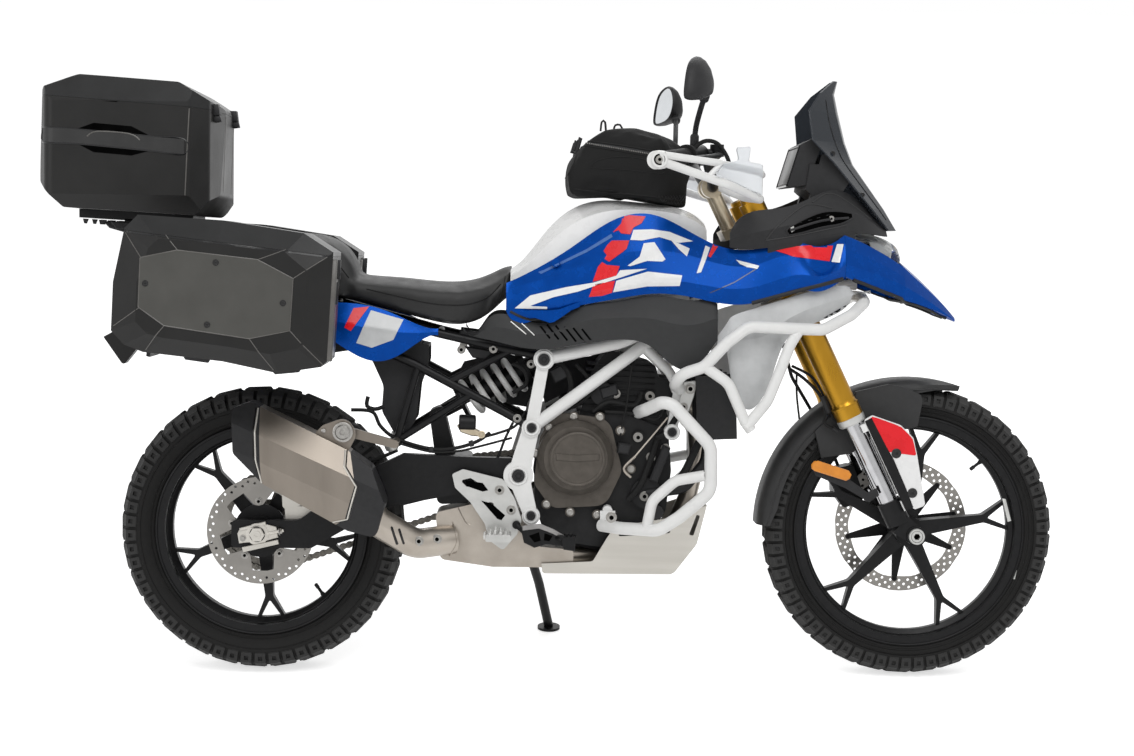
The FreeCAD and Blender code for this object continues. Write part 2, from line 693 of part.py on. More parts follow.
def main_frame():
    low, high = FRAME_Y - FRAME_PLATE_T / 2, FRAME_Y + FRAME_PLATE_T / 2
    side = [
        link(BOSS_A, BOSS_B, 13, 14, low, high),
        link(BOSS_B, PIVOT, 18, 24, low, high),
        link(PIVOT, BOSS_D, 24, 15, low, high),
        cross_rod(*BOSS_A, 23, low, high + 4),
        cross_rod(*BOSS_B, 21, low, high + 3),
        cross_rod(*PIVOT, 33, low, high),
        cross_rod(*BOSS_D, 20, low, high + 3),
        tube([(628, FRAME_Y, 717), (800, 130, 757), (960, 92, 830), (1110, 16, 906)], FRAME_TUBE_R, 120),
        tube([(602, FRAME_Y, 565), (848, 126, 749), (950, 98, 812)], FRAME_TUBE_R, 100),
        tube([(848, 126, 749), (905, 128, 694), (929, 128, 655)], 11, 40),
        cross_rod(*FRONT_MOUNT, 18, 104, 140),
        link(FRONT_MOUNT, HEAD_BOLT, 11, 12, 104, 116),
        cross_rod(*HEAD_BOLT, 18, 102.3, 124),
    ]
    left = fuse(side)
    right = mirrored(left)
    head = leg_rod(HEAD_TUBE_R, LOWER_YOKE_S + LOWER_YOKE_T + YOKE_GAP, UPPER_YOKE_S - YOKE_GAP,
        -STEER_BEHIND, 0)
    centre = [
        head,
        cross_rod(BOSS_A[0], BOSS_A[1], 10, -FRAME_Y, FRAME_Y),
        cross_rod(BOSS_D[0], BOSS_D[1], 10, -FRAME_Y, FRAME_Y),
        cross_rod(930, 805, 11, -105, 105),
        stand_bracket(),
        rod(on_fork(-STEER_BEHIND + 20, 0, 690), V(1290, 0, 884), 13),
        rod(V(1284, 0, 890), V(1338, 0, 888), 11),
    ]
    bore = leg_rod(STEM_R + STEM_GAP, 500, 900, -STEER_BEHIND, 0)
    return fuse([left, right] + centre).cut(bore)


def subframe():
    y = SUBFRAME_Y
    side = [
        tube([(624, y, 723), (540, y, 738), (395, y, 770), (160, y, 832),
            (-150, y, 868)], SUBFRAME_TUBE_R, 150),
        tube([(596, y + 6, 568), (540, y, 598), (340, y, 702), (60, y, 822),
            (20, y, 843)], SUBFRAME_TUBE_R, 120),
        cross_rod(*BOSS_A, 17, y - 8, FRAME_Y - FRAME_TUBE_R - 1.5),
        cross_rod(*BOSS_B, 14, y - 4, FRAME_Y - FRAME_PLATE_T / 2 - SEAT_GAP),
        rod(V(556, y, 735), V(420, y, 664), STRUT_R),
        rod(V(470, y, 636), V(304, y, 530), STRUT_R),
        rod(V(350, y, 698), V(304, y, 530), STRUT_R),
        Part.makeSphere(14, V(304, y, 530)),
    ]
    left = fuse(side)
    cross = [
        cross_rod(395, 770, STRUT_R, -y, y),
        cross_rod(160, 832, STRUT_R, -y, y),
        cross_rod(-140, 867, STRUT_R, -y, y),
        cross_rod(304, 530, STRUT_R, -y, y),
    ]
    whole = fuse([left, mirrored(left)] + cross)
    return whole.cut(cross_rod(*BOSS_A, 10.1, -FRAME_Y, FRAME_Y))


def engine():
    case = plate(
        [
            (612, 390, 30), (640, 312, 30), (760, 297, 30), (860, 306, 30), (905, 380, 40), (916, 470, 40),
            (908, 560, 20), (800, 600, 30), (640, 585, 40), (612, 500, 20),
        ],
        -102, 102,
    )
    barrel = plate(
        [(700, 560), (742, 700, 14), (772, 738, 18), (878, 706, 18), (915, 560, 12), (900, 500)], -86, 86,
    )
    mount = cross_rod(*FRONT_MOUNT, 16, -103.5, 103.5)
    arm = plate([(860, 600), (929, 640), (929, 672), (850, 680)], -84, 84)
    bosses = [cross_rod(841, 546, 13, -112, 112), cross_rod(866, 636, 13, -98, 98),
        cross_rod(790, 640, 9, -92, 92)]
    starter = [cross_rod(760, 640, 26, -108, -80), cross_rod(860, 420, 34, -118, -100)]
    coolant = tube([(1000, -92, 550), (992, -98, 490), (944, -116, 432), (860, -112, 420)], 12, 40)
    whole = fuse([case, barrel, arm, mount, coolant] + bosses + starter)
    return whole.cut(cross_rod(FRONT_SPROCKET_X, FRONT_SPROCKET_Z, 56, 70, 103))


def engine_covers():
    def cover(radius, inner_r, depth):
        return ring_solid(
            [
                (0, 102), (radius, 102), (radius, 102 + depth * 0.55, 6), (inner_r + 12, 102 + depth * 0.8),
                (inner_r, 102 + depth * 0.8), (inner_r, 102 + depth), (0, 102 + depth),
            ],
            701, 500,
        )

    def rim(outline):
        return plate(outline, 102, 120)

    edge = [
        (622, 545, 20), (609, 440, 30), (650, 385, 30), (770, 392, 40), (806, 470, 40),
        (776, 585, 40), (660, 600, 40),
    ]
    return group([
        mirrored(fuse([cover(84, 58, 66), rim(edge)])),
        fuse([cover(78, 50, 50), rim(edge)]),
    ])


def radiator():
    core = plate([(970, 676), (1042, 676), (1050, 556), (980, 552)], 44, 140)
    tank = plate([(962, 684), (1050, 684), (1056, 548), (970, 544)], 140, 158)
    inner_tank = plate([(962, 684), (1050, 684), (1056, 548), (970, 544)], 30, 44)
    bracket = plate([(932, 646), (966, 646), (966, 664), (932, 664)], 140, 144)
    return pair(fuse([core, tank, inner_tank, bracket]))


def skid_plate():
    half = 128
    wall = 4
    outer = plate(
        [
            (629, 262), (631, 240, 8), (922, 241, 20), (974, 309, 20), (995, 396), (905, 366, 10),
            (790, 346, 10), (772, 318, 6), (743, 268, 10),
        ],
        -half, half,
    )
    inner = plate(
        [(620, 300), (620, 240 + wall), (920, 241 + wall, 20), (970, 311, 20), (991, 420), (620, 420)],
        -half + wall, half - wall,
    )
    slots = [
        plate([(800, 325, 3), (842, 327, 3), (842, 335, 3), (800, 332, 3)], -200, 200),
        plate([(858, 329, 4), (914, 333, 4), (914, 343, 4), (858, 338, 4)], -200, 200),
        plate([(956, 330, 3), (966, 328, 3), (980, 372, 3), (973, 376, 3)], -200, 200),
    ]
    spacers = [
        cross_rod(850, 346, 7, 102 + SEAT_GAP, half - 1),
        cross_rod(791, 337, 5.5, 102 + SEAT_GAP, half - 1),
    ]
    shell = carve(outer, inner, *slots)
    return fuse([shell] + spacers + [mirrored(s) for s in spacers])


def exhaust_pipe():
    header = tube(
        [(900, 0, 630), (975, 0, 616), (985, 0, 500), (962, 0, 400), (922, 0, 304), (866, -6, 271),
        (760, -40, 271),
         (670, -66, 272)],
        21, 60,
    )
    box = plate(
        [(700, 292, 8), (625, 298, 8), (604, 330, 8), (588, 368, 12), (474, 392, 20), (392, 372, 14),
        (404, 268, 14),
         (520, 252, 12), (700, 252, 12)],
        -118, -14,
    )
    pipe = tube([(430, -110, 312), (350, -152, 306), (262, -182, 362), (236, -186, 420)], 33, 60)
    return carve(fuse([header, box, pipe]), muffler_blank(), engine())


MUFFLER_IN = 134.0
MUFFLER_OUT = 262.0
MUFFLER_BOLT = (194, 558)


def muffler_blank():
    profile = [
        (-42, 608, 6), (-4, 622, 8), (203, 522, 20), (258, 482, 18), (288, 404, 20), (268, 330, 16),
        (206, 344, 20),
        (24, 445, 20), (-38, 512, 14),
    ]
    shell = plate(profile, -MUFFLER_OUT, -MUFFLER_IN)
    flat = 26
    corner = 34
    section = [
        (-MUFFLER_OUT, -flat), (-MUFFLER_OUT + corner, -90), (-MUFFLER_IN - corner, -90),
        (-MUFFLER_IN, -flat), (-MUFFLER_IN, flat), (-MUFFLER_IN - corner, 92), (-MUFFLER_OUT + corner, 92),
        (-MUFFLER_OUT, flat),
    ]
    slope = V(-233, 0, 105)
    start = V(290, 0, 400)
    wire = Part.makePolygon([V(0, y, z) for y, z in section] + [V(0, section[0][0], section[0][1])])
    body = Part.Face(wire).extrude(FORWARD * -420)
    body.rotate(ORIGIN, ACROSS, math.degrees(math.atan2(slope.z, -slope.x)))
    body.translate(start + V(20, 0, -8))
    return shell.common(body)


def muffler_cuts():
    rear = plate([(-60, 700), (16, 640), (22, 430), (-60, 430)], -300, -100)
    front = plate([(204, 560), (224, 448), (202, 372), (170, 350), (170, 300), (320, 300),
        (320, 560)], -300, -100)
    return rear, front


def muffler_body():
    """The can with the ear on its top edge and the arm from the ear to the subframe."""
    rear, front = muffler_cuts()
    can = muffler_blank().cut(rear).cut(front)
    ear = plate([(128, 548), (150, 572, 14), (200, 590, 26), (226, 556, 26), (206, 516, 8),
        (196, 512)], -218, -208)
    arm = fuse([
        cross_rod(*MUFFLER_BOLT, 15, -224, -180),
        link(MUFFLER_BOLT, (304, 530), 11, 9, -190, -180),
        cross_rod(304, 530, 9, -190, -SUBFRAME_Y - 14.4),
    ])
    return fuse([can, ear, arm])


def muffler_caps():
    rear, front = muffler_cuts()
    blank = muffler_blank()
    tail_hole = rod(V(-80, -198, 590), V(20, -198, 545), 22)
    return group([blank.common(rear).cut(tail_hole), blank.common(front)])


def swingarm():
    side = [
        (600, 472, 12), (560, 496, 20), (479, 497), (320, 503, 12), (256, 472, 30), (90, 352, 30),
        (-58, 350, 8),
        (-58, 290, 8), (118, 290, 20), (278, 382, 30), (448, 416), (575, 424, 20), (600, 436, 12),
    ]
    right = plate(side, -SWINGARM_OUT, -SWINGARM_IN)
    left_side = [
        (600, 472, 12), (560, 490, 20), (440, 462, 20), (256, 420, 30), (90, 352, 30), (-58, 350, 8),
        (-58, 290, 8), (118, 290, 20), (278, 352, 30), (448, 396), (575, 424, 20), (600, 436, 12),
    ]
    left = plate(left_side, SWINGARM_IN, SWINGARM_OUT)
    bridge = plate([(394, 388, 14), (470, 392, 14), (470, 438, 14),
        (394, 440, 14)], -SWINGARM_IN, SWINGARM_IN)
    right_bridge = plate([(384, 400, 14), (480, 410, 14), (470, 494, 10), (388, 496, 14)], -SWINGARM_IN, 60)
    lug = plate([(372, 592, 12), (404, 606, 12), (436, 480), (388, 480)], 16, 30)
    pivot = fuse([
        cross_rod(PIVOT_X, PIVOT_Z, 24, -SWINGARM_IN, 66),
        cross_rod(PIVOT_X, PIVOT_Z, 17, 60, SWINGARM_IN),
    ])
    pin = cross_rod(SHOCK_LOW.x, SHOCK_LOW.z, SHOCK_PIN_R, -30, 30)
    bosses = [
        cross_rod(0, REAR_AXLE_Z, 18, -SWINGARM_IN, -HUB_HALF - 17),
        cross_rod(0, REAR_AXLE_Z, 18, HUB_HALF + 29, SWINGARM_IN),
        cross_rod(0, REAR_AXLE_Z, AXLE_R, -SWINGARM_OUT - 14, SWINGARM_OUT + 14),
        cross_rod(0, REAR_AXLE_Z, 17, -SWINGARM_OUT - 10, -SWINGARM_OUT),
        cross_rod(0, REAR_AXLE_Z, 17, SWINGARM_OUT, SWINGARM_OUT + 10),
    ]
    return fuse([right, left, bridge, right_bridge, lug, mirrored(lug), pivot, pin] + bosses)


SHOCK_TOP = V(628, 0, 708)
SHOCK_LOW = V(398, 0, 586)
SHOCK_AXIS = (SHOCK_LOW - SHOCK_TOP).normalize()
SHOCK_PIN_R = 8.0
SPRING_R = 40.0
SPRING_WIRE = 6.5
SPRING_TURNS = 6
SPRING_START = 52.0
SPRING_LENGTH = 150.0


def on_shock(along, side=0.0):
    return SHOCK_TOP + SHOCK_AXIS * along + ACROSS * side


def rear_shock():
    total = (SHOCK_LOW - SHOCK_TOP).Length
    pieces = [
        rod(on_shock(8), on_shock(SPRING_START), 22),
        rod(on_shock(SPRING_START - 14), on_shock(SPRING_START), SPRING_R + SPRING_WIRE - 2),
        rod(on_shock(30), on_shock(170), 24),
        rod(on_shock(150), on_shock(total), 9),
        rod(on_shock(SPRING_START + SPRING_LENGTH), on_shock(SPRING_START + SPRING_LENGTH + 9), SPRING_R + 4),
        rod(on_shock(SPRING_START + SPRING_LENGTH + 1), on_shock(total - 8), 15),
        cross_rod(SHOCK_LOW.x, SHOCK_LOW.z, 15, -15.6, 15.6),
        cross_rod(628, 717, 20, -26, 26),
    ]
    eyes = [
        cross_rod(BOSS_A[0], BOSS_A[1], 10 + RUNNING_GAP, -60, 60),
        cross_rod(SHOCK_LOW.x, SHOCK_LOW.z, SHOCK_PIN_R + RUNNING_GAP, -60, 60),
    ]
    return carve(fuse(pieces), *eyes)


def shock_spring():
    pitch = SPRING_LENGTH / SPRING_TURNS
    inset = SPRING_WIRE * math.cos(math.radians(30)) + SEAT_GAP
    helix = Part.makeHelix(pitch, SPRING_LENGTH - 2 * inset, SPRING_R)
    corners = []
    for i in range(7):
        angle = math.radians(60 * i)
        corners.append(V(SPRING_R + SPRING_WIRE * math.cos(angle), 0, SPRING_WIRE * math.sin(angle)))
    wire = Part.Wire(helix.Edges)
    coil = wire.makePipeShell([Part.makePolygon(corners)], True, True)
    turn = FreeCAD.Rotation(UPWARD, SHOCK_AXIS)
    coil.Placement = FreeCAD.Placement(on_shock(SPRING_START + inset), turn)
    return coil


def rear_caliper():
    y_disc = -HUB_HALF - 10
    block = plate([(52, 372, 8), (132, 392, 10), (118, 446, 14),
        (48, 440, 14)], -SWINGARM_IN + 0.3, y_disc + 16)
    bracket = plate([(60, 336), (112, 336), (118, 380), (56, 380)], -SWINGARM_IN + 0.1, -SWINGARM_IN + 12)
    block = fuse([block, bracket])
    slot = ring_solid(
        [
            (REAR_DISC_R + 6, y_disc - PAD_GAP), (REAR_DISC_R + 6, y_disc + DISC_T + PAD_GAP),
            (20, y_disc + DISC_T + PAD_GAP), (20, y_disc - PAD_GAP),
        ],
        0, REAR_AXLE_Z,
    )
    return block.cut(slot)


def heel_plate():
    outline = [
        (429, 462, 5), (453, 473, 8), (541, 452, 14), (566, 412, 20), (584, 362, 16),
        (574, 330, 10), (543, 294, 8),
        (510, 318, 6), (503, 352, 20), (470, 400, 14), (436, 432, 10),
    ]
    body = plate(outline, FRAME_Y + 9, FRAME_Y + 16)
    upper = plate([(447, 448, 4), (470, 454, 3), (492, 440, 3), (462, 434, 4)], FRAME_Y, FRAME_Y + 20)
    lower = plate([(506, 402, 4), (520, 400, 4), (528, 376, 3), (516, 380, 4)], FRAME_Y, FRAME_Y + 20)
    spacer = cross_rod(562, 400, 9, FRAME_Y + 5, FRAME_Y + 10)
    peg_bar = plate([(505, 322, 4), (560, 322, 4), (560, 338, 4), (505, 338, 4)], FRAME_Y + 15, FRAME_Y + 84)
    teeth = [
        plate([(509 + i * 12, 337), (515 + i * 12, 337), (513 + i * 12, 346), (511 + i * 12, 346)],
              FRAME_Y + 34, FRAME_Y + 82)
        for i in range(4)
    ]
    return fuse([body.cut(upper).cut(lower), spacer, peg_bar] + teeth)


def foot_controls():
    brake = tube([(572, -160, 352), (612, -166, 318), (660, -168, 326), (672, -196, 330)], 6, 20)
    gear = tube([(572, 160, 352), (612, 166, 330), (668, 168, 344), (674, 196, 346)], 6, 20)
    return group([
        fuse([brake, cross_rod(572, 352, 9, -163, -152.3)]),
        fuse([gear, cross_rod(572, 352, 9, 152.3, 163)]),
    ])


def side_stand():
    foot_z = STAND_FOOT_Y * math.tan(math.radians(LEAN))
    ground = V(0, -math.sin(math.radians(LEAN)), math.cos(math.radians(LEAN)))
    foot = V(STAND_FOOT_X, STAND_FOOT_Y, foot_z)
    top = foot + ground * STAND_FOOT_T
    leg = tube([tuple(STAND_PIVOT), tuple(STAND_PIVOT + (top - STAND_PIVOT) * 0.45 + V(4, 6, 0)), tuple(top)],
               STAND_LEG_R, 200)
    pad = Part.makeCylinder(27, STAND_FOOT_T, foot, ground)
    knuckle = Part.makeCylinder(17, 24, STAND_PIVOT - STAND_AXIS * 12, STAND_AXIS)
    bore = Part.makeCylinder(STAND_PIN_R + RUNNING_GAP, 60, STAND_PIVOT - STAND_AXIS * 30, STAND_AXIS)
    cap_room = Part.makeCylinder(STAND_PIN_R + 5, 14, STAND_PIVOT + STAND_AXIS * 12.2, STAND_AXIS)
    return carve(fuse([leg, pad, knuckle]), bore, cap_room)


def stand_bracket():
    """Lug under the left frame plate, with the pin that the stand turns on."""
    foot = (STAND_PIVOT.x, STAND_PIVOT.z)
    lug = link(BOSS_D, foot, 13, 15, FRAME_Y - FRAME_PLATE_T / 2 - 11, FRAME_Y - FRAME_PLATE_T / 2)
    face = Part.makeCylinder(15, 12, STAND_PIVOT - STAND_AXIS * 24.3, STAND_AXIS)
    pin = Part.makeCylinder(STAND_PIN_R, 41, STAND_PIVOT - STAND_AXIS * 24.3, STAND_AXIS)
    cap = Part.makeCylinder(STAND_PIN_R + 4, 4, STAND_PIVOT + STAND_AXIS * 12.7, STAND_AXIS)
    room = Part.makeCylinder(19, 24.6, STAND_PIVOT - STAND_AXIS * 12.3, STAND_AXIS)
    return fuse([lug.cut(room), face, pin, cap])


# Bodywork

def side_panel():
    return skin(
        [
            (543, [(-150, 884), (-160, 862), (-166, 840), (-160, 824)]),
            (613, [(-150, 919), (-168, 890), (-176, 840), (-168, 808)]),
            (696, [(-150, 972), (-178, 920), (-188, 862), (-176, 836)]),
            (782, [(-150, 1028), (-184, 950), (-198, 880), (-184, 853)]),
            (863, [(-154, 1038), (-192, 960), (-208, 895), (-192, 866)]),
            (950, [(-164, 998), (-198, 948), (-214, 890), (-198, 859)]),
            (1020, [(-176, 968), (-202, 930), (-216, 880), (-202, 846)]),
            (1085, [(-177, 966), (-200, 932), (-212, 885), (-202, 850)]),
            (1180, [(-168, 982), (-188, 950), (-200, 912), (-192, 880)]),
            (1285, [(-150, 1000), (-166, 970), (-180, 936), (-170, 908)]),
        ],
        PANEL_T,
    )


def front_beak():
    wing = skin(
        [
            (1285.5, [(-150, 1000), (-166, 970), (-180, 936), (-170, 908)]),
            (1366, [(-118, 966), (-132, 940), (-142, 912), (-136, 880)]),
            (1430, [(-88, 930), (-100, 908), (-108, 888), (-104, 858)]),
        ],
        PANEL_T,
    )
    nose = hull_loft([
        (1429, [(20, 944), (88, 931), (108, 888), (104, 858), (60, 848)]),
        (1480, [(12, 902), (60, 890), (76, 862), (72, 844), (40, 836)]),
        (1530, [(6, 854), (32, 848), (42, 832), (40, 826), (22, 820)]),
        (1563, [(3, 818), (8, 816), (12, 812), (11, 810), (6, 808)]),
    ])
    hollow = hull_loft([
        (1420, [(14, 930), (78, 918), (96, 886), (94, 850), (56, 830)]),
        (1476, [(6, 890), (50, 878), (66, 858), (64, 836), (36, 820)]),
        (1515, [(3, 858), (26, 850), (36, 836), (34, 820), (18, 806)]),
    ])
    return fuse([wing, mirrored(wing), nose]).cut(hollow)


def lower_side_cover():
    return skin(
        [
            (450, [(-140, 785), (-141, 781), (-140, 777)]),
            (500, [(-150, 801), (-156, 782), (-152, 760)]),
            (560, [(-158, 811), (-168, 782), (-160, 747)]),
            (641, [(-164, 799), (-180, 776), (-170, 741)]),
            (700, [(-170, 833), (-190, 800), (-180, 753)]),
            (780, [(-176, 848), (-198, 812), (-188, 764)]),
            (860, [(-184, 862), (-206, 812), (-194, 750)]),
            (920, [(-190, 856), (-210, 800), (-198, 704)]),
            (975, [(-190, 852), (-210, 806), (-202, 724)]),
            (1004, [(-190, 844), (-206, 812), (-204, 766)]),
        ],
        PANEL_T,
    )


def tank_shroud():
    return skin(
        [
            (1004.3, [(-196, 776), (-199, 758), (-199, 740)]),
            (1032, [(-196, 816), (-206, 770), (-202, 702)]),
            (1075, [(-190, 834), (-206, 770), (-200, 616)]),
            (1112, [(-186, 846), (-200, 780), (-194, 654)]),
            (1152, [(-180, 858), (-192, 810), (-186, 762)]),
            (1219, [(-168, 878), (-176, 842), (-172, 806)]),
            (1300, [(-150, 884), (-155, 868), (-153, 854)]),
            (1346, [(-141, 879), (-143, 875), (-142, 871)]),
        ],
        PANEL_T,
    )


def fuel_tank():
    return hull_loft([
        (552, [(40, 914), (84, 900), (92, 860), (80, 850)]),
        (623, [(50, 990), (110, 960), (132, 890), (120, 842)]),
        (699, [(58, 1056), (120, 1022), (140, 940), (128, 838)]),
        (760, [(62, 1070), (126, 1044), (142, 950), (130, 838)]),
        (863, [(66, 1064), (128, 1048), (142, 950), (132, 846)]),
        (950, [(66, 1046), (126, 1030), (142, 950), (130, 876)]),
        (984, [(60, 1020), (116, 1006), (134, 950), (122, 898)]),
    ])


TANK_BAG = [
    (684, 1079, 8), (671, 1081, 10), (668, 1129, 20), (711, 1200, 40), (753, 1231, 20), (818, 1229, 40),
    (930, 1199, 30), (972, 1166, 20), (949, 1108, 30), (946, 1052, 8), (900, 1060), (765, 1083),
]


def tank_bag():
    profile = plate(TANK_BAG, -126, 126)
    section = [
        (-126, 1040), (-126, 1150, 40), (-114, 1238, 32), (114, 1238, 32), (126, 1150, 40), (126, 1040),
    ]
    wire = corner_wire(section, lambda y, z: V(640, y, z))
    loaf = Part.Face(wire).extrude(FORWARD * 360)
    plan = slab([(650, -126, 30), (880, -126, 40), (980, 0, 60), (880, 126, 40), (650, 126, 30)], 1000, 1260)
    return profile.common(loaf).common(plan)


def seat():
    rider = hull_loft([
        (206, [(60, 896), (128, 880), (134, 862), (124, 840), (60, 838)]),
        (300, [(66, 888), (134, 870), (140, 850), (130, 817), (60, 816)]),
        (400, [(66, 880), (136, 862), (142, 842), (130, 790), (60, 790)]),
        (460, [(56, 884), (122, 866), (130, 842), (118, 790), (54, 790)]),
        (510, [(40, 902), (96, 884), (108, 858), (98, 815), (40, 815)]),
        (551.7, [(28, 928), (72, 912), (82, 888), (76, 858), (30, 852)]),
    ])
    pillion = hull_loft([
        (-130, [(50, 978), (92, 968), (100, 940), (96, 884), (50, 884)]),
        (0, [(60, 986), (108, 974), (118, 940), (112, 872), (60, 872)]),
        (110, [(62, 984), (114, 972), (124, 940), (118, 850), (60, 850)]),
        (168, [(60, 966), (112, 950), (126, 910), (122, 842), (60, 842)]),
        (214, [(52, 896), (104, 884), (122, 870), (118, 842), (60, 840)]),
    ])
    return fuse([rider, pillion])


def tail_cover():
    shell = skin(
        [
            (-90, [(-124, 862), (-128, 836), (-124, 812)]),
            (60, [(-136, 846), (-144, 812), (-138, 776)]),
            (165, [(-140, 836), (-154, 796), (-146, 752)]),
            (250, [(-140, 828), (-156, 780), (-144, 709)]),
            (325, [(-134, 800), (-146, 772), (-136, 732)]),
            (394, [(-124, 781), (-127, 774), (-125, 766)]),
        ],
        PANEL_T,
    )
    pegs = [cross_rod(250, 808, 8, -144, -SUBFRAME_Y), cross_rod(60, 822, 8, -138, -SUBFRAME_Y)]
    return fuse([shell] + pegs)


def rear_fender():
    wall = 6
    outline = [
        (110, 784), (170, 768, 40), (243, 712, 50), (272, 650, 40), (268, 593, 30), (296, 545), (324, 545, 8),
        (345, 573, 20), (352, 650, 30), (372, 705, 20), (372, 742), (110, 802),
    ]
    flap = plate(outline, -72, 72).cut(plate(outline, -72 + wall, 72 - wall).translated(V(wall, 0, -wall)))
    tray = plate([(-176, 838), (-176, 806, 10), (60, 772, 20), (150, 766), (150, 788), (60, 812),
        (-60, 838)], -86, 86)
    hanger = plate([(-152, 830), (-128, 830), (-128, 866), (-152, 866)], -30, 30)
    holder = plate([(-172, 830), (-250, 800, 10), (-258, 708), (-250, 706), (-240, 780, 10),
        (-172, 812)], -60, 60)
    return fuse([flap, tray, hanger, holder])


def rear_lamps():
    tail = plate([(-196, 838), (-204, 866, 6), (-186, 884, 6), (-160, 884), (-152, 838.2)], -62, 62)
    stalk = rod(V(-246, 60.2, 776), V(-246, 96, 776), 5)
    lamp = plate([(-262, 762, 8), (-230, 762, 6), (-230, 790, 6), (-262, 790, 8)], 94, 138)
    signal = fuse([stalk, lamp])
    return group([tail, signal, mirrored(signal)])


def screen_section(z, x_centre, x_fold, fold, x_side, half):
    """Centre panel between two folds, with a wing on each side."""
    outer = [V(x_side, -half, z), V(x_fold, -fold, z), V(x_centre, 0, z), V(x_fold, fold, z),
        V(x_side, half, z)]
    inner = [V(p.x - SCREEN_T, p.y, p.z) for p in outer]
    return Part.Wire([
        Part.LineSegment(outer[0], outer[1]).toShape(),
        Part.Arc(outer[1], outer[2], outer[3]).toShape(),
        Part.LineSegment(outer[3], outer[4]).toShape(),
        Part.LineSegment(outer[4], inner[4]).toShape(),
        Part.LineSegment(inner[4], inner[3]).toShape(),
        Part.Arc(inner[3], inner[2], inner[1]).toShape(),
        Part.LineSegment(inner[1], inner[0]).toShape(),
        Part.LineSegment(inner[0], outer[0]).toShape(),
    ])


def windscreen():
    return Part.makeLoft([
        screen_section(1012, 1424, 1418, 40, 1398, 68),
        screen_section(1060, 1394, 1387, 46, 1354, 96),
        screen_section(1159, 1322, 1312, 54, 1264, 122),
        screen_section(1207, 1303, 1292, 54, 1216, 126),
        screen_section(1274, 1286, 1274, 50, 1208, 114),
        screen_section(1316, 1277, 1268, 36, 1238, 70),
        screen_section(1346, 1284, 1281, 12, 1274, 22),
    ], True, True)


def fairing():
    side = skin(
        [
            (1028, [(-192, 1000), (-196, 986), (-190, 970)]),
            (1100, [(-172, 1052), (-190, 1006), (-186, 968)]),
            (1170, [(-160, 1064), (-178, 1022), (-176, 980)]),
            (1235, [(-132, 1092), (-160, 1040), (-164, 992)]),
            (1300, [(-96, 1092), (-132, 1050), (-146, 1003)]),
            (1350, [(-74, 1052), (-104, 1030), (-122, 1002)]),
            (1390, [(-58, 1016), (-78, 1008), (-92, 998)]),
        ],
        PANEL_T,
    )
    post = plate([(1212, 1072), (1262, 1060), (1310, 1130), (1310, 1160), (1256, 1178), (1238, 1178)], 74, 98)
    cross = plate([(1204, 1100), (1232, 1076), (1258, 1070), (1266, 1112), (1240, 1156),
        (1212, 1156)], -98, 98)
    tray = plate([(1256, 1032), (1298, 1014), (1298, 1004), (1286, 1004), (1246, 1026)], -143, 143)
    strut = plate([(1246, 1030), (1262, 1024), (1262, 1080), (1246, 1086)], -20, 20)
    return fuse([side, mirrored(side), post, mirrored(post), cross, tray, strut])


def display():
    return plate(
        [(1163, 1104, 5), (1192, 1200, 6), (1224, 1216, 8), (1241, 1207, 6), (1208, 1110, 6)], -92, 92,
    )


def headlight():
    return hull_loft([
        (1301, [(40, 1000), (118, 996), (128, 940), (80, 900)]),
        (1350, [(36, 1004), (96, 988), (112, 936), (74, 896)]),
        (1400, [(30, 990), (70, 972), (88, 930), (64, 896)]),
        (1427, [(22, 968), (44, 955), (50, 946), (40, 945)]),
    ])


def upper_crash_bars():
    r = 13
    main = tube(
        [(929, 142, 655), (912, 200, 668), (925, 232, 694), (972, 240, 710), (1022, 240, 764),
        (1068, 236, 799),
         (1233, 214, 793), (1300, 180, 826), (1336, 128, 852), (1340, 60, 862), (1340, 0, 862)],
        r, 40,
    )
    down = tube([(972, 240, 712), (1026, 238, 676), (1064, 234, 592), (1078, 230, 574)], 12, 50)
    up = tube([(1066, 234, 580), (1112, 232, 637), (1140, 226, 706), (1160, 222, 760),
        (1178, 220, 790)], 12, 70)
    side = fuse([main, down, up])
    return fuse([side, mirrored(side)])


def lower_engine_guard():
    r = 14
    main = tube(
        [(841, 103, 600), (852, 180, 612), (884, 226, 632), (906, 232, 628), (991, 236, 538), (992, 236, 440),
         (925, 232, 382), (880, 228, 352), (800, 180, 350), (760, 134, 350)],
        r, 40,
    )
    branch = tube([(856, 214, 356), (866, 222, 416), (916, 228, 462), (978, 234, 474)], 12, 40)
    ear = link((774, 350), (774, 382), 16, 17, 126, 136)
    spacer = cross_rod(774, 382, 11, 102.2, 130)
    side = fuse([main, branch, ear, spacer])
    return pair(side)


# Luggage

PANNIER = [
    (-235, 989), (-208, 1017), (-36, 1008), (130, 984), (190, 946), (178, 722), (166, 711), (78, 697),
    (-35, 720), (-197, 737), (-236, 752), (-262, 780), (-258, 880),
]
PANNIER_CREST = [
    (-180, 950), (-160, 968), (-40, 962), (96, 944), (140, 908), (132, 760), (122, 750), (66, 738),
    (-20, 752), (-150, 768), (-182, 776), (-206, 800), (-204, 880),
]
PANNIER_SEAM = ((-258, 988), (190, 938))
TOP_CASE = [
    (-408, 1034, 10), (-462, 1090, 16), (-452, 1288, 12), (-374, 1318, 20), (-160, 1304, 20), (-82, 1256, 14),
    (-88, 1066, 20), (-126, 1021, 14),
]
TOP_CASE_PLAN = [
    (-462, -196, 30), (-440, -TOP_CASE_HALF, 24), (-136, -TOP_CASE_HALF, 14), (-99, -192, 20), (-82, -60, 90),
    (-82, 60, 90), (-99, 192, 20), (-136, TOP_CASE_HALF, 14), (-440, TOP_CASE_HALF, 24), (-462, 196, 30),
]
TOP_CASE_SEAM = ((-460, 1272), (-78, 1246.5))


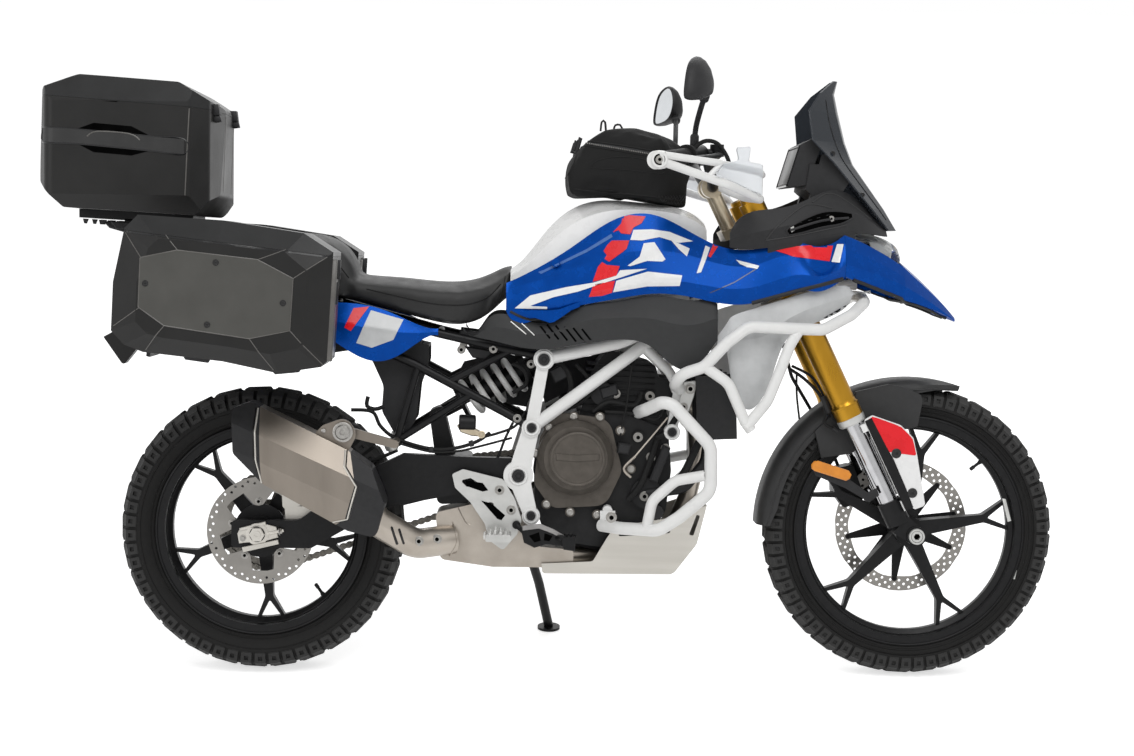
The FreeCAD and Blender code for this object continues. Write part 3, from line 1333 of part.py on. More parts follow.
def shrunk(outline, wall):
    """The outline moved in by a wall on every side; corners keep their count."""
    moved = []
    count = len(outline)
    for i in range(count):
        p0, p1, p2 = outline[i - 1], outline[i], outline[(i + 1) % count]
        a = V(p1[0] - p0[0], p1[1] - p0[1], 0).normalize()
        b = V(p2[0] - p1[0], p2[1] - p1[1], 0).normalize()
        turn = a.x * b.y - a.y * b.x
        area = sum(
            outline[k - 1][0] * outline[k][1] - outline[k][0] * outline[k - 1][1] for k in range(count)
        )
        side = 1 if area > 0 else -1
        na = V(-a.y, a.x, 0) * side
        nb = V(-b.y, b.x, 0) * side
        mix = (na + nb).normalize()
        reach = wall / max(mix.dot(na), 0.3)
        corner = (p1[0] + mix.x * reach, p1[1] + mix.y * reach)
        if len(p1) == 3:
            sharp = turn * side > 0
            corner = corner + (max(p1[2] - wall, 2) if sharp else p1[2] + wall,)
        moved.append(corner)
    return moved


def above_seam(seam, lift):
    """A block that holds all that lies above a case's seam, raised by lift."""
    (x0, z0), (x1, z1) = seam
    slope = (z1 - z0) / (x1 - x0)
    far = 400
    return plate(
        [
            (x0 - far, z0 - far * slope + lift), (x1 + far, z1 + far * slope + lift),
            (x1 + far, z1 + 600), (x0 - far, z0 + 600),
        ],
        -700, 700,
    )


def pannier_shell():
    low = Part.makePolygon([V(x, -PANNIER_OUT, z) for x, z in PANNIER + [PANNIER[0]]])
    crest = Part.makePolygon([V(x, -PANNIER_FACE, z) for x, z in PANNIER_CREST + [PANNIER_CREST[0]]])
    face = Part.makeLoft([low, crest], True, True)
    return fuse([plate(PANNIER, -PANNIER_OUT, -PANNIER_IN), face])


def pannier_room():
    inner = shrunk(PANNIER, CASE_WALL)
    crest = shrunk(PANNIER_CREST, CASE_WALL)
    low = Part.makePolygon([V(x, -PANNIER_OUT, z) for x, z in inner + [inner[0]]])
    high = Part.makePolygon([V(x, -PANNIER_FACE + CASE_WALL, z) for x, z in crest + [crest[0]]])
    face = Part.makeLoft([low, high], True, True)
    return fuse([plate(inner, -PANNIER_OUT, -PANNIER_IN - CASE_WALL), face])


def pannier_box():
    hook = plate([(-250, 790), (-300, 762), (-258, 702, 6), (-222, 748)], -330, -300)
    outside = fuse([pannier_shell(), hook])
    return carve(outside, pannier_room(), above_seam(PANNIER_SEAM, -CASE_GAP / 2))


def pannier_lid():
    return pannier_shell().cut(pannier_room()).common(above_seam(PANNIER_SEAM, CASE_GAP / 2))


def top_case_solid(wall):
    inner = shrunk(TOP_CASE, wall) if wall else TOP_CASE
    plan = shrunk(TOP_CASE_PLAN, wall) if wall else TOP_CASE_PLAN
    half = TOP_CASE_HALF + 20
    section = [
        (-204, 1021 + wall), (-TOP_CASE_HALF + wall, 1062 + wall), (-TOP_CASE_HALF + wall, 1262, 10),
        (-TOP_CASE_HALF + 22 + wall, 1320 - wall, 20), (TOP_CASE_HALF - 22 - wall, 1320 - wall, 20),
        (TOP_CASE_HALF - wall, 1262, 10), (TOP_CASE_HALF - wall, 1062 + wall), (204, 1021 + wall),
    ]
    wire = corner_wire(section, lambda y, z: V(-500, y, z))
    tunnel = Part.Face(wire).extrude(FORWARD * 500)
    return plate(inner, -half, half).common(slab(plan, 1000, 1340)).common(tunnel)


def top_case_shell():
    return top_case_solid(0).cut(top_case_solid(CASE_WALL))


def top_case_box():
    return top_case_shell().cut(above_seam(TOP_CASE_SEAM, -CASE_GAP / 2))


def top_case_lid():
    return top_case_shell().common(above_seam(TOP_CASE_SEAM, CASE_GAP / 2))


def pannier_hinge():
    """Middle of the right case's lid hinge: the seam at the inner wall."""
    (x0, z0), (x1, z1) = PANNIER_SEAM
    return V((x0 + x1) / 2, -PANNIER_IN + HINGE_OUT, (z0 + z1) / 2)


def pannier_hinge_line():
    (x0, z0), (x1, z1) = PANNIER_SEAM
    return V(x1 - x0, 0, z1 - z0).normalize()


def top_case_hinge():
    """Middle of the top case's lid hinge: the seam at the front wall."""
    (x0, z0), (x1, z1) = TOP_CASE_SEAM
    return V(x1, 0, z1)


def luggage_racks():
    y = PANNIER_IN - RACK_TUBE_R - 0.4
    loop = [
        tube([(0, y, 767), (-60, y, 770), (-196, y, 800), (-190, y, 915), (-60, y, 925), (40, y, 918),
            (140, y, 890),
              (150, y, 800), (120, y, 761), (20, y, 766)], RACK_TUBE_R, 30),
        rod(V(-8, y, 767.4), V(28, y, 765.6), RACK_TUBE_R - 2),
        tube([(-60, y, 925), (-60, 180, 905), (-60, SUBFRAME_Y, 858)], RACK_TUBE_R, 30),
        tube([(120, y, 762), (120, 190, 762), (96, SUBFRAME_Y, 807)], RACK_TUBE_R, 20),
    ]
    side = fuse(loop)
    deck = plate([(-400, 1014), (-150, 1003), (-150, 1021.8), (-400, 1033.3)], -90, 90)
    arm = tube([(-300, 84, 1006), (-170, 84, 1000), (-146, 92, 960), (-146, SUBFRAME_Y, 878)], 9, 24)
    return group([side, mirrored(side), fuse([deck, arm, mirrored(arm)])])


# Assembly

def lean_over(shape):
    """Tip the upright machine onto its stand and move it to the row's origin."""
    placed = shape.copy()
    placed.rotate(ORIGIN, FORWARD, -LEAN)
    placed.translate(V(-ROW_X, -ROW_Y, 0))
    return placed


def build():
    rear_x, rear_z = 0, REAR_AXLE_Z
    front_x, front_z = FRONT_AXLE.x, FRONT_AXLE.z
    nodes = {}
    nodes["front_tyre"] = tyre(front_x, front_z, FRONT_TYRE_R, FRONT_TYRE_W, FRONT_RIM_R, FRONT_RIM_W)
    nodes["front_rim"] = cast_rim(
        front_x, front_z, FRONT_RIM_R, FRONT_RIM_W, FRONT_SPOKE_PHASE, -HUB_HALF, HUB_HALF + 4,
    )
    nodes["front_brake_disc"] = brake_disc(front_x, front_z, FRONT_DISC_R, FRONT_DISC_BAND, HUB_HALF + 4,
        6, HUB_R - 8)
    nodes["rear_tyre"] = tyre(rear_x, rear_z, REAR_TYRE_R, REAR_TYRE_W, REAR_RIM_R, REAR_RIM_W)
    nodes["rear_rim"] = cast_rim(
        rear_x, rear_z, REAR_RIM_R, REAR_RIM_W, REAR_SPOKE_PHASE, -HUB_HALF - 16, HUB_HALF + 28,
    )
    nodes["rear_brake_disc"] = brake_disc(rear_x, rear_z, REAR_DISC_R, REAR_DISC_BAND, -HUB_HALF - 10, 5,
        HUB_R + 0.1)
    nodes["rear_sprocket"] = rear_sprocket()
    nodes["drive_chain"] = drive_chain()

    nodes["fork_outer_tubes"] = pair(fork_outer_tube())
    nodes["fork_inner_tubes"] = pair(leg_rod(INNER_TUBE_R, LUG_TOP, INNER_TUBE_TOP))
    nodes["fork_bottoms"] = fork_bottoms()
    nodes["steering_yokes"] = yokes()
    nodes["handlebar"] = handlebar()
    nodes["grips"] = pair(grip())
    nodes["hand_controls"] = pair(hand_control())
    nodes["hand_guards"] = pair(hand_guard())
    nodes["guard_shields"] = pair(guard_shield())
    nodes["mirrors"] = pair(mirror())
    nodes["front_fender"] = front_fender()
    nodes["fork_guards"] = pair(fork_guard())
    nodes["front_brake"] = front_brake()

    nodes["main_frame"] = main_frame()
    nodes["subframe"] = carve(subframe(), nodes["main_frame"])
    nodes["engine"] = engine()
    nodes["engine_covers"] = engine_covers()
    nodes["radiator"] = carve(radiator(), upper_crash_bars())
    nodes["skid_plate"] = skid_plate()
    nodes["exhaust_pipe"] = exhaust_pipe()
    nodes["muffler_body"] = muffler_body()
    nodes["muffler_caps"] = muffler_caps()
    nodes["swingarm"] = swingarm()
    nodes["rear_shock"] = rear_shock()
    nodes["shock_spring"] = shock_spring()
    nodes["rear_caliper"] = rear_caliper()
    nodes["heel_plates"] = pair(heel_plate())
    nodes["foot_controls"] = foot_controls()
    nodes["side_stand"] = side_stand()

    pegs = [cross_rod(800, 950, 9, -183, -135), cross_rod(650, 930, 9, -171, -125)]
    nodes["side_panels"] = carve(pair(fuse([side_panel()] + pegs)), fuel_tank())
    nodes["front_beak"] = front_beak()
    panel = side_panel()
    panel_room = [panel, panel.translated(UPWARD * -1.5), panel.translated(ACROSS * 1.5)]
    nodes["lower_side_covers"] = pair(biggest(carve(lower_side_cover(), *panel_room), 1))
    nodes["tank_shrouds"] = pair(tank_shroud())
    foot = plate([(905, 800), (955, 800), (955, 900), (905, 900)], -40, 40)
    nodes["fuel_tank"] = carve(fuse([fuel_tank(), foot]), nodes["main_frame"])
    nodes["tank_bag"] = tank_bag()
    nodes["seat"] = seat()
    nodes["luggage_racks"] = carve(luggage_racks(), nodes["subframe"])
    nodes["tail_covers"] = carve(pair(tail_cover()), nodes["subframe"], nodes["luggage_racks"])
    nodes["rear_fender"] = carve(rear_fender(), nodes["subframe"])
    nodes["rear_lamps"] = rear_lamps()
    nodes["windscreen"] = windscreen()
    nodes["display"] = display()
    nodes["fairing"] = biggest(carve(fairing(), nodes["windscreen"], nodes["display"]), 1)
    nodes["headlight"] = carve(headlight(), nodes["main_frame"])
    nodes["upper_crash_bars"] = carve(upper_crash_bars(), nodes["main_frame"])
    nodes["lower_engine_guard"] = lower_engine_guard()

    nodes["pannier_box_right"] = pannier_box()
    nodes["pannier_box_left"] = mirrored(pannier_box())
    nodes["pannier_lid_right"] = pannier_lid()
    nodes["pannier_lid_left"] = mirrored(pannier_lid())
    nodes["top_case_box"] = top_case_box()
    nodes["top_case_lid"] = top_case_lid()
    return nodes


def main():
    os.makedirs("parts", exist_ok=True)
    for name, shape in build().items():
        lean_over(shape).exportStep(os.path.join("parts", name + ".step"))


if __name__ == "__main__":
    main()
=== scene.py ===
import math

import bmesh
import bpy
from mathutils import Matrix, Vector
from mathutils.bvhtree import BVHTree


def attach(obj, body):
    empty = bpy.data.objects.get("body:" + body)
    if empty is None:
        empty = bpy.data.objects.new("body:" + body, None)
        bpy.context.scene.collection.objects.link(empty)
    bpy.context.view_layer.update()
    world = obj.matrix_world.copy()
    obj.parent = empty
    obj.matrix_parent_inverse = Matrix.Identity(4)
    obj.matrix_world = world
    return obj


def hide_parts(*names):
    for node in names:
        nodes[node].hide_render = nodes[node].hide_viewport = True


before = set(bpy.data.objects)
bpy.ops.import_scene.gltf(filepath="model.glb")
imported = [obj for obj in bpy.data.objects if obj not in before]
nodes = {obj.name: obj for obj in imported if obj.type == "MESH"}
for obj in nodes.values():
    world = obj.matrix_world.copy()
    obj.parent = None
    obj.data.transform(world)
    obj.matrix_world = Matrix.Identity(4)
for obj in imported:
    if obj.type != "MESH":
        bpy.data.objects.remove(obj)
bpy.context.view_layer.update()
scene = bpy.context.scene

# The upright machine: millimetres, X forward from the rear axle, Y to the left, Z up.
# Pieces are drawn there and leaned over with the frame on the side stand.

MM = 0.001
LEAN = math.radians(9.5)
WHEELBASE = 1465.0
FRONT_TYRE_R = 331.0
FRONT_TYRE_W = 100.0
FRONT_RIM_R = 259.0
REAR_TYRE_R = 320.0
REAR_TYRE_W = 130.0
REAR_RIM_R = 234.0
ROW_X = (WHEELBASE + FRONT_TYRE_R - 461.0) / 2
ROW_Y = 168.0
TILT = math.cos(LEAN)
FRONT_AXLE_Z = FRONT_TYRE_R + FRONT_TYRE_W / 2 * (1 / TILT - 1)
REAR_AXLE_Z = REAR_TYRE_R + REAR_TYRE_W / 2 * (1 / TILT - 1)
BIKE = Matrix.Translation((-ROW_X * MM, -ROW_Y * MM, 0)) @ Matrix.Rotation(-LEAN, 4, "X")
FROM_ROW = BIKE.inverted()


# Materials

def shader(name):
    material = bpy.data.materials.new(name)
    material.use_nodes = True
    tree = material.node_tree
    return material, tree, tree.nodes["Principled BSDF"]


def add(tree, kind, **values):
    node = tree.nodes.new(kind)
    for key, value in values.items():
        if key in node.inputs:
            node.inputs[key].default_value = value
        else:
            setattr(node, key, value)
    return node


def noise(tree, scale, detail=4.0, rough=0.55, stretch=None):
    """Noise in the piece's own coordinates; stretch draws it out along an axis."""
    coords = add(tree, "ShaderNodeTexCoord")
    texture = add(tree, "ShaderNodeTexNoise", Scale=scale, Detail=detail, Roughness=rough)
    if stretch:
        mapping = add(tree, "ShaderNodeMapping")
        mapping.inputs["Scale"].default_value = stretch
        tree.links.new(coords.outputs["Object"], mapping.inputs["Vector"])
        tree.links.new(mapping.outputs["Vector"], texture.inputs["Vector"])
    else:
        tree.links.new(coords.outputs["Object"], texture.inputs["Vector"])
    return texture.outputs["Fac"]


def spread(tree, value, low, high, start=0.3, end=0.7):
    """Map a texture value between two numbers."""
    node = add(tree, "ShaderNodeMapRange")
    node.inputs["From Min"].default_value = start
    node.inputs["From Max"].default_value = end
    node.inputs["To Min"].default_value = low
    node.inputs["To Max"].default_value = high
    tree.links.new(value, node.inputs["Value"])
    return node.outputs["Result"]


def two_tone(tree, value, dark, light, start=0.3, end=0.7):
    ramp = add(tree, "ShaderNodeValToRGB")
    ramp.color_ramp.elements[0].position = start
    ramp.color_ramp.elements[1].position = end
    ramp.color_ramp.elements[0].color = (*dark, 1)
    ramp.color_ramp.elements[1].color = (*light, 1)
    tree.links.new(value, ramp.inputs["Fac"])
    return ramp.outputs["Color"]


def bump(tree, bsdf, value, strength, distance):
    node = add(tree, "ShaderNodeBump", Strength=strength, Distance=distance)
    tree.links.new(value, node.inputs["Height"])
    previous = bsdf.inputs["Normal"].links
    if previous:
        tree.links.new(previous[0].from_socket, node.inputs["Normal"])
    tree.links.new(node.outputs["Normal"], bsdf.inputs["Normal"])


def finish(
    name, dark, light, rough, metal=0.0, coat=0.0, cloud=40.0, grain=900.0, grain_depth=0.0002,
    grain_strength=0.15, specular=0.5, stretch=None,
):
    """Surface with slow colour change, roughness that varies and a fine bump."""
    material, tree, bsdf = shader(name)
    clouds = noise(tree, cloud, 5.0, stretch=stretch)
    tree.links.new(two_tone(tree, clouds, dark, light), bsdf.inputs["Base Color"])
    tree.links.new(spread(tree, clouds, rough[0], rough[1]), bsdf.inputs["Roughness"])
    bsdf.inputs["Metallic"].default_value = metal
    bsdf.inputs["Specular IOR Level"].default_value = specular
    bsdf.inputs["Coat Weight"].default_value = coat
    bsdf.inputs["Coat Roughness"].default_value = 0.06
    if grain_strength:
        bump(tree, bsdf, noise(tree, grain, 3.0, stretch=stretch), grain_strength, grain_depth)
    return material


WHITE = finish(
    "white_lacquer", (0.74, 0.74, 0.735), (0.77, 0.77, 0.765), (0.24, 0.32), coat=0.3, grain=260,
    grain_strength=0.04, specular=0.35
)
WHITE_FRAME = finish(
    "white_powder", (0.68, 0.68, 0.67), (0.72, 0.72, 0.71), (0.36, 0.46), coat=0.1, grain=700,
    grain_strength=0.10, specular=0.35
)
BLUE = finish(
    "blue_lacquer", (0.0006, 0.044, 0.255), (0.0010, 0.054, 0.30), (0.22, 0.30), metal=0.35, coat=0.03,
    grain=200, grain_strength=0.03, specular=0.04
)
RED = finish(
    "red_film", (0.66, 0.006, 0.012), (0.74, 0.010, 0.018), (0.24, 0.32), coat=0.2, grain=300,
    grain_strength=0.03, specular=0.25
)
DARK_BLUE = finish("dark_blue_film", (0.006, 0.012, 0.05), (0.008, 0.016, 0.07), (0.24, 0.34), coat=0.6)
SILVER_PANEL = finish(
    "silver_lacquer", (0.43, 0.437, 0.44), (0.50, 0.508, 0.51), (0.32, 0.40), metal=0.1, coat=0.2,
    grain=500, grain_strength=0.04, specular=0.35
)
GREY_COVER = finish(
    "grey_grained_cover", (0.020, 0.0205, 0.021), (0.027, 0.0275, 0.028), (0.50, 0.62), cloud=60,
    grain=1800, grain_strength=0.3, grain_depth=0.0003, specular=0.3
)
BLACK_SATIN = finish(
    "black_satin_paint", (0.0035, 0.0035, 0.004), (0.007, 0.007, 0.0075), (0.34, 0.46), cloud=80,
    grain=1400, grain_strength=0.12, specular=0.2
)
BLACK_PLASTIC = finish(
    "black_grained_plastic", (0.014, 0.014, 0.015), (0.021, 0.021, 0.022), (0.50, 0.62), cloud=70,
    grain=2200, grain_strength=0.3, grain_depth=0.0003, specular=0.25
)
BLACK_GLOSS = finish(
    "black_gloss_plastic", (0.003, 0.003, 0.0035), (0.005, 0.005, 0.0055), (0.16, 0.24), coat=0.1,
    grain_strength=0.0, specular=0.3
)
CASE = finish(
    "case_shell_plastic", (0.010, 0.0098, 0.0095), (0.014, 0.0137, 0.0133), (0.34, 0.42), cloud=12,
    grain=2600, grain_strength=0.3, grain_depth=0.0003, specular=0.22
)
CASE_LID = finish(
    "case_lid_plastic", (0.013, 0.0132, 0.0134), (0.018, 0.0183, 0.0186), (0.30, 0.38), cloud=12,
    grain=2600, grain_strength=0.25, grain_depth=0.0003, specular=0.22
)
CASE_FACE = finish(
    "case_face_brown", (0.056, 0.055, 0.050), (0.070, 0.069, 0.063), (0.40, 0.50), cloud=14, grain=2600,
    grain_strength=0.3, grain_depth=0.0003, specular=0.25
)
ENGINE = finish(
    "dark_cast_metal", (0.006, 0.006, 0.0065), (0.014, 0.014, 0.0145), (0.45, 0.60), metal=0.3, cloud=50,
    grain=500, grain_strength=0.45, grain_depth=0.0006, specular=0.3
)
ENGINE_GREY = finish(
    "grey_cast_metal", (0.22, 0.215, 0.21), (0.30, 0.29, 0.285), (0.42, 0.55), metal=0.75, cloud=50,
    grain=500, grain_strength=0.4, grain_depth=0.0005
)
BRONZE = finish(
    "bronze_grey_cover", (0.068, 0.060, 0.051), (0.092, 0.081, 0.070), (0.42, 0.52), metal=0.5, cloud=60,
    grain=700, grain_strength=0.3, grain_depth=0.0004, specular=0.3
)
ALUMINIUM = finish(
    "brushed_aluminium", (0.46, 0.44, 0.40), (0.56, 0.54, 0.50), (0.34, 0.46), metal=0.85, cloud=30,
    grain=240, grain_strength=0.12, stretch=(0.06, 1, 1)
)
SILVER_PAINT = finish(
    "silver_plate", (0.47, 0.47, 0.455), (0.52, 0.52, 0.505), (0.36, 0.46), metal=0.6, cloud=50, grain=900,
    grain_strength=0.12
)
MUFFLER = finish(
    "titanium_grey_skin", (0.19, 0.166, 0.141), (0.235, 0.207, 0.177), (0.32, 0.42), metal=0.85, cloud=18,
    grain=260, grain_strength=0.1, stretch=(1, 1, 0.06)
)
STEEL = finish(
    "warm_steel", (0.33, 0.295, 0.255), (0.42, 0.38, 0.335), (0.28, 0.42), metal=0.9, cloud=16, grain=400,
    grain_strength=0.12
)
DISC_STEEL = finish(
    "ground_disc_steel", (0.22, 0.21, 0.195), (0.28, 0.268, 0.25), (0.28, 0.36), metal=0.95, cloud=14,
    grain=900, grain_strength=0.12
)
CHAIN = finish(
    "oiled_chain_steel", (0.10, 0.095, 0.085), (0.26, 0.245, 0.22), (0.32, 0.5), metal=0.9, cloud=200
)
GOLD = finish(
    "gold_anodised", (0.36, 0.185, 0.014), (0.45, 0.24, 0.024), (0.26, 0.36), metal=0.9, cloud=20,
    grain=600, grain_strength=0.06, stretch=(1, 1, 0.1)
)
CHAMPAGNE = finish("champagne_anodised", (0.42, 0.36, 0.26), (0.52, 0.45, 0.34), (0.28, 0.4), metal=0.9)
CHROME = finish(
    "hard_chrome", (0.40, 0.40, 0.41), (0.48, 0.48, 0.49), (0.08, 0.14), metal=1.0, grain_strength=0.0
)
BOLT_STEEL = finish(
    "zinc_fasteners", (0.27, 0.26, 0.245), (0.38, 0.37, 0.35), (0.28, 0.4), metal=0.95, cloud=300
)
BLACK_BOLT = finish(
    "black_fasteners", (0.012, 0.012, 0.012), (0.03, 0.03, 0.03), (0.3, 0.45), metal=0.5, cloud=300
)
SPRING = finish(
    "white_spring_enamel", (0.78, 0.775, 0.76), (0.82, 0.815, 0.80), (0.28, 0.36), coat=0.2, specular=0.35
)
RUBBER = finish(
    "black_rubber", (0.006, 0.006, 0.006), (0.012, 0.012, 0.012), (0.6, 0.75), cloud=90, grain=1200,
    grain_strength=0.3, specular=0.2
)
TYRE = finish(
    "tyre_rubber", (0.011, 0.0108, 0.0106), (0.017, 0.0167, 0.0164), (0.62, 0.8), cloud=55, grain=1500,
    grain_strength=0.35, grain_depth=0.0004, specular=0.15
)
TYRE_BLOCKS = finish(
    "tread_block_rubber", (0.024, 0.0238, 0.0235), (0.034, 0.0337, 0.0333), (0.6, 0.76), cloud=55,
    grain=1500, grain_strength=0.35, grain_depth=0.0004, specular=0.2
)
FENDER_PLASTIC = finish(
    "fender_plastic", (0.021, 0.021, 0.0215), (0.028, 0.028, 0.0285), (0.46, 0.58), cloud=60, grain=2200,
    grain_strength=0.3, grain_depth=0.0003, specular=0.3
)
# Near-black without gloss: painted shade, laid into slots, vents, hollows, seams, gaps and bolt recesses.
PAINTED_SHADE = finish(
    "painted_recess_shade", (0.0015, 0.0015, 0.0015), (0.0030, 0.0030, 0.0030), (0.85, 0.95), grain_strength=0.0,
    specular=0.0
)
# Lighter blue: painted highlight along the side panels' upper crease, where light catches it.
PAINTED_CREASE_BLUE = finish(
    "blue_crease_painted_highlight", (0.055, 0.13, 0.36), (0.075, 0.16, 0.40), (0.24, 0.34), grain_strength=0.0,
    specular=0.25
)
AMBER = finish(
    "amber_lens", (0.58, 0.19, 0.008), (0.70, 0.245, 0.014), (0.14, 0.22), coat=0.2, grain=500,
    grain_strength=0.2
)
RED_LENS = finish("red_lens", (0.42, 0.008, 0.008), (0.5, 0.012, 0.012), (0.12, 0.2), coat=0.5)
FABRIC = finish(
    "woven_bag_fabric", (0.006, 0.006, 0.006), (0.012, 0.012, 0.012), (0.72, 0.88), cloud=500, grain=3000,
    grain_strength=0.5, grain_depth=0.0004, specular=0.2
)
SEAT_VINYL = finish(
    "grained_seat_vinyl", (0.011, 0.011, 0.011), (0.018, 0.018, 0.018), (0.48, 0.60), cloud=40, grain=1500,
    grain_strength=0.4, grain_depth=0.0003, specular=0.35
)
CASE_BAND = finish(
    "case_band_plastic", (0.020, 0.020, 0.020), (0.026, 0.026, 0.026), (0.34, 0.42), cloud=30, grain=2600,
    grain_strength=0.2, specular=0.3
)
# Lighter warm grey: painted highlight along the cases' rims, creases, ridges and edge lines; the pannier
# front trims take it as their colour too.
CASE_HIGHLIGHT = finish(
    "case_edge_painted_highlight", (0.07, 0.066, 0.06), (0.10, 0.095, 0.088), (0.30, 0.42), cloud=40, grain=2000,
    grain_strength=0.15
)
MIRROR = finish(
    "mirror_glass", (0.62, 0.64, 0.66), (0.68, 0.70, 0.72), (0.05, 0.1), metal=1.0, grain_strength=0.0
)
# Flat mid-grey with little gloss: painted reflection of the bright surroundings on the display's glass.
DISPLAY_REFLECTION_GREY = finish(
    "display_glass_painted_reflection", (0.17, 0.17, 0.17), (0.20, 0.20, 0.20), (0.30, 0.40), grain_strength=0.0, specular=0.3
)


def clear(name, colour, rough=0.03, ior=1.3, weight=1.0):
    material, tree, bsdf = shader(name)
    haze = noise(tree, 30.0)
    tree.links.new(spread(tree, haze, rough, rough + 0.03), bsdf.inputs["Roughness"])
    bsdf.inputs["Base Color"].default_value = (*colour, 1)
    bsdf.inputs["Transmission Weight"].default_value = weight
    bsdf.inputs["IOR"].default_value = ior
    return material


SMOKE = clear("smoked_screen", (0.040, 0.046, 0.055), rough=0.12, ior=1.25, weight=0.35)
SHIELD = clear("frosted_shield", (0.80, 0.82, 0.84), rough=0.28, ior=1.15, weight=0.75)
LENS = clear("clear_lens", (0.92, 0.94, 0.96), ior=1.2)


def dress(name, material):
    """Give a solid its material and smooth its shading below sharp corners."""
    obj = nodes[name]
    obj.data.materials.clear()
    obj.data.materials.append(material)
    soften(obj)


def soften(obj, angle=32):
    """Smooth shading except across corners sharper than the angle."""
    mesh = obj.data
    work = bmesh.new()
    work.from_mesh(mesh)
    limit = math.radians(angle)
    sharp = [not e.is_manifold or e.calc_face_angle(0.0) > limit for e in work.edges]
    work.free()
    for polygon in mesh.polygons:
        polygon.use_smooth = True
    attribute = mesh.attributes.get("sharp_edge") or mesh.attributes.new("sharp_edge", "BOOLEAN", "EDGE")
    attribute.data.foreach_set("value", sharp)


DRESS = {
    "front_tyre": TYRE, "rear_tyre": TYRE, "front_rim": BLACK_SATIN, "rear_rim": BLACK_SATIN,
    "front_brake_disc": DISC_STEEL, "rear_brake_disc": DISC_STEEL, "rear_sprocket": CHAIN,
    "drive_chain": CHAIN, "fork_outer_tubes": GOLD, "fork_inner_tubes": CHROME, "fork_bottoms": BLACK_SATIN,
    "steering_yokes": CHAMPAGNE, "handlebar": BLACK_SATIN, "grips": RUBBER, "hand_controls": BLACK_SATIN,
    "hand_guards": WHITE_FRAME, "guard_shields": SHIELD, "mirrors": BLACK_PLASTIC,
    "front_fender": FENDER_PLASTIC, "fork_guards": WHITE, "front_brake": BLACK_SATIN,
    "main_frame": WHITE_FRAME, "subframe": BLACK_SATIN, "engine": ENGINE, "engine_covers": BRONZE,
    "radiator": BLACK_PLASTIC, "skid_plate": ALUMINIUM, "exhaust_pipe": STEEL, "muffler_body": MUFFLER,
    "muffler_caps": BLACK_PLASTIC, "swingarm": BLACK_SATIN, "rear_shock": BLACK_SATIN,
    "shock_spring": SPRING, "rear_caliper": ALUMINIUM, "heel_plates": SILVER_PAINT,
    "foot_controls": BLACK_SATIN, "side_stand": BLACK_SATIN, "side_panels": BLUE, "front_beak": BLUE,
    "lower_side_covers": GREY_COVER, "tank_shrouds": SILVER_PANEL, "fuel_tank": WHITE, "tank_bag": FABRIC,
    "seat": RUBBER, "tail_covers": BLUE, "rear_fender": BLACK_PLASTIC, "rear_lamps": RED_LENS,
    "windscreen": SMOKE, "fairing": BLACK_PLASTIC, "display": BLACK_PLASTIC, "headlight": LENS,
    "upper_crash_bars": WHITE_FRAME, "lower_engine_guard": WHITE_FRAME, "pannier_box_right": CASE,
    "pannier_box_left": CASE, "pannier_lid_right": CASE_LID, "pannier_lid_left": CASE_LID,
    "top_case_box": CASE, "top_case_lid": CASE_LID, "luggage_racks": BLACK_SATIN
}
for node_name, node_material in DRESS.items():
    dress(node_name, node_material)


# Drawing pieces in millimetres on the upright machine

def piece(name, parts, material, body="chassis", angle=32, stands_for=()):
    """One object from (points, faces) parts, leaned over with the machine and riding on a body."""
    points, faces = [], []
    for part_points, part_faces in parts:
        start = len(points)
        points.extend(Vector(p) * MM for p in part_points)
        faces.extend([start + i for i in face] for face in part_faces)
    mesh = bpy.data.meshes.new(name)
    mesh.from_pydata(points, [], faces)
    mesh.transform(BIKE)
    mesh.validate()
    mesh.materials.append(material)
    obj = bpy.data.objects.new(name, mesh)
    scene.collection.objects.link(obj)
    soften(obj, angle)
    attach(obj, body)
    if stands_for:
        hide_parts(*stands_for)
    return obj


ACROSS = (0, 1, 0)
RIGHT = Vector((0, -1, 0))


def polar(x, z, distance, angle):
    """Point of the x-z plane at a distance and an angle from another."""
    return x + distance * math.cos(angle), z + distance * math.sin(angle)


def axes_for(direction):
    """Two unit vectors square to the direction and to each other."""
    direction = Vector(direction).normalized()
    guide = Vector((0, 0, 1)) if abs(direction.z) < 0.9 else Vector((1, 0, 0))
    first = direction.cross(guide).normalized()
    return direction, first, first.cross(direction).normalized() * -1


def bands(rings, count):
    """Faces between rings of points that follow each other, each ring closed."""
    return [
        (r * count + k, r * count + (k + 1) % count, (r + 1) * count + (k + 1) % count, (r + 1) * count + k)
        for r in range(rings - 1) for k in range(count)
    ]


def hexed(radius, angle):
    """Distance to a hexagon's edge with the given corner radius."""
    sixth = math.pi / 3
    return radius * math.cos(sixth / 2) / math.cos(angle % sixth - sixth / 2)


def spin(profile, origin, direction, steps=24):
    """Turned part; profile rows are (radius, along) or (radius, along, True) for a hexagonal row."""
    direction, first, second = axes_for(direction)
    origin = Vector(origin)
    points = []
    for row in profile:
        for k in range(steps):
            angle = math.tau * k / steps
            radius = hexed(row[0], angle) if len(row) == 3 else row[0]
            points.append(
                origin + direction * row[1] + (first * math.cos(angle) + second * math.sin(angle)) * radius
            )
    faces = bands(len(profile), steps)
    last = (len(profile) - 1) * steps
    if profile[0][0] > 0 and profile[0] != profile[-1]:
        faces.append(tuple(reversed(range(steps))))
        faces.append(tuple(range(last, last + steps)))
    return points, faces


WELLS = []


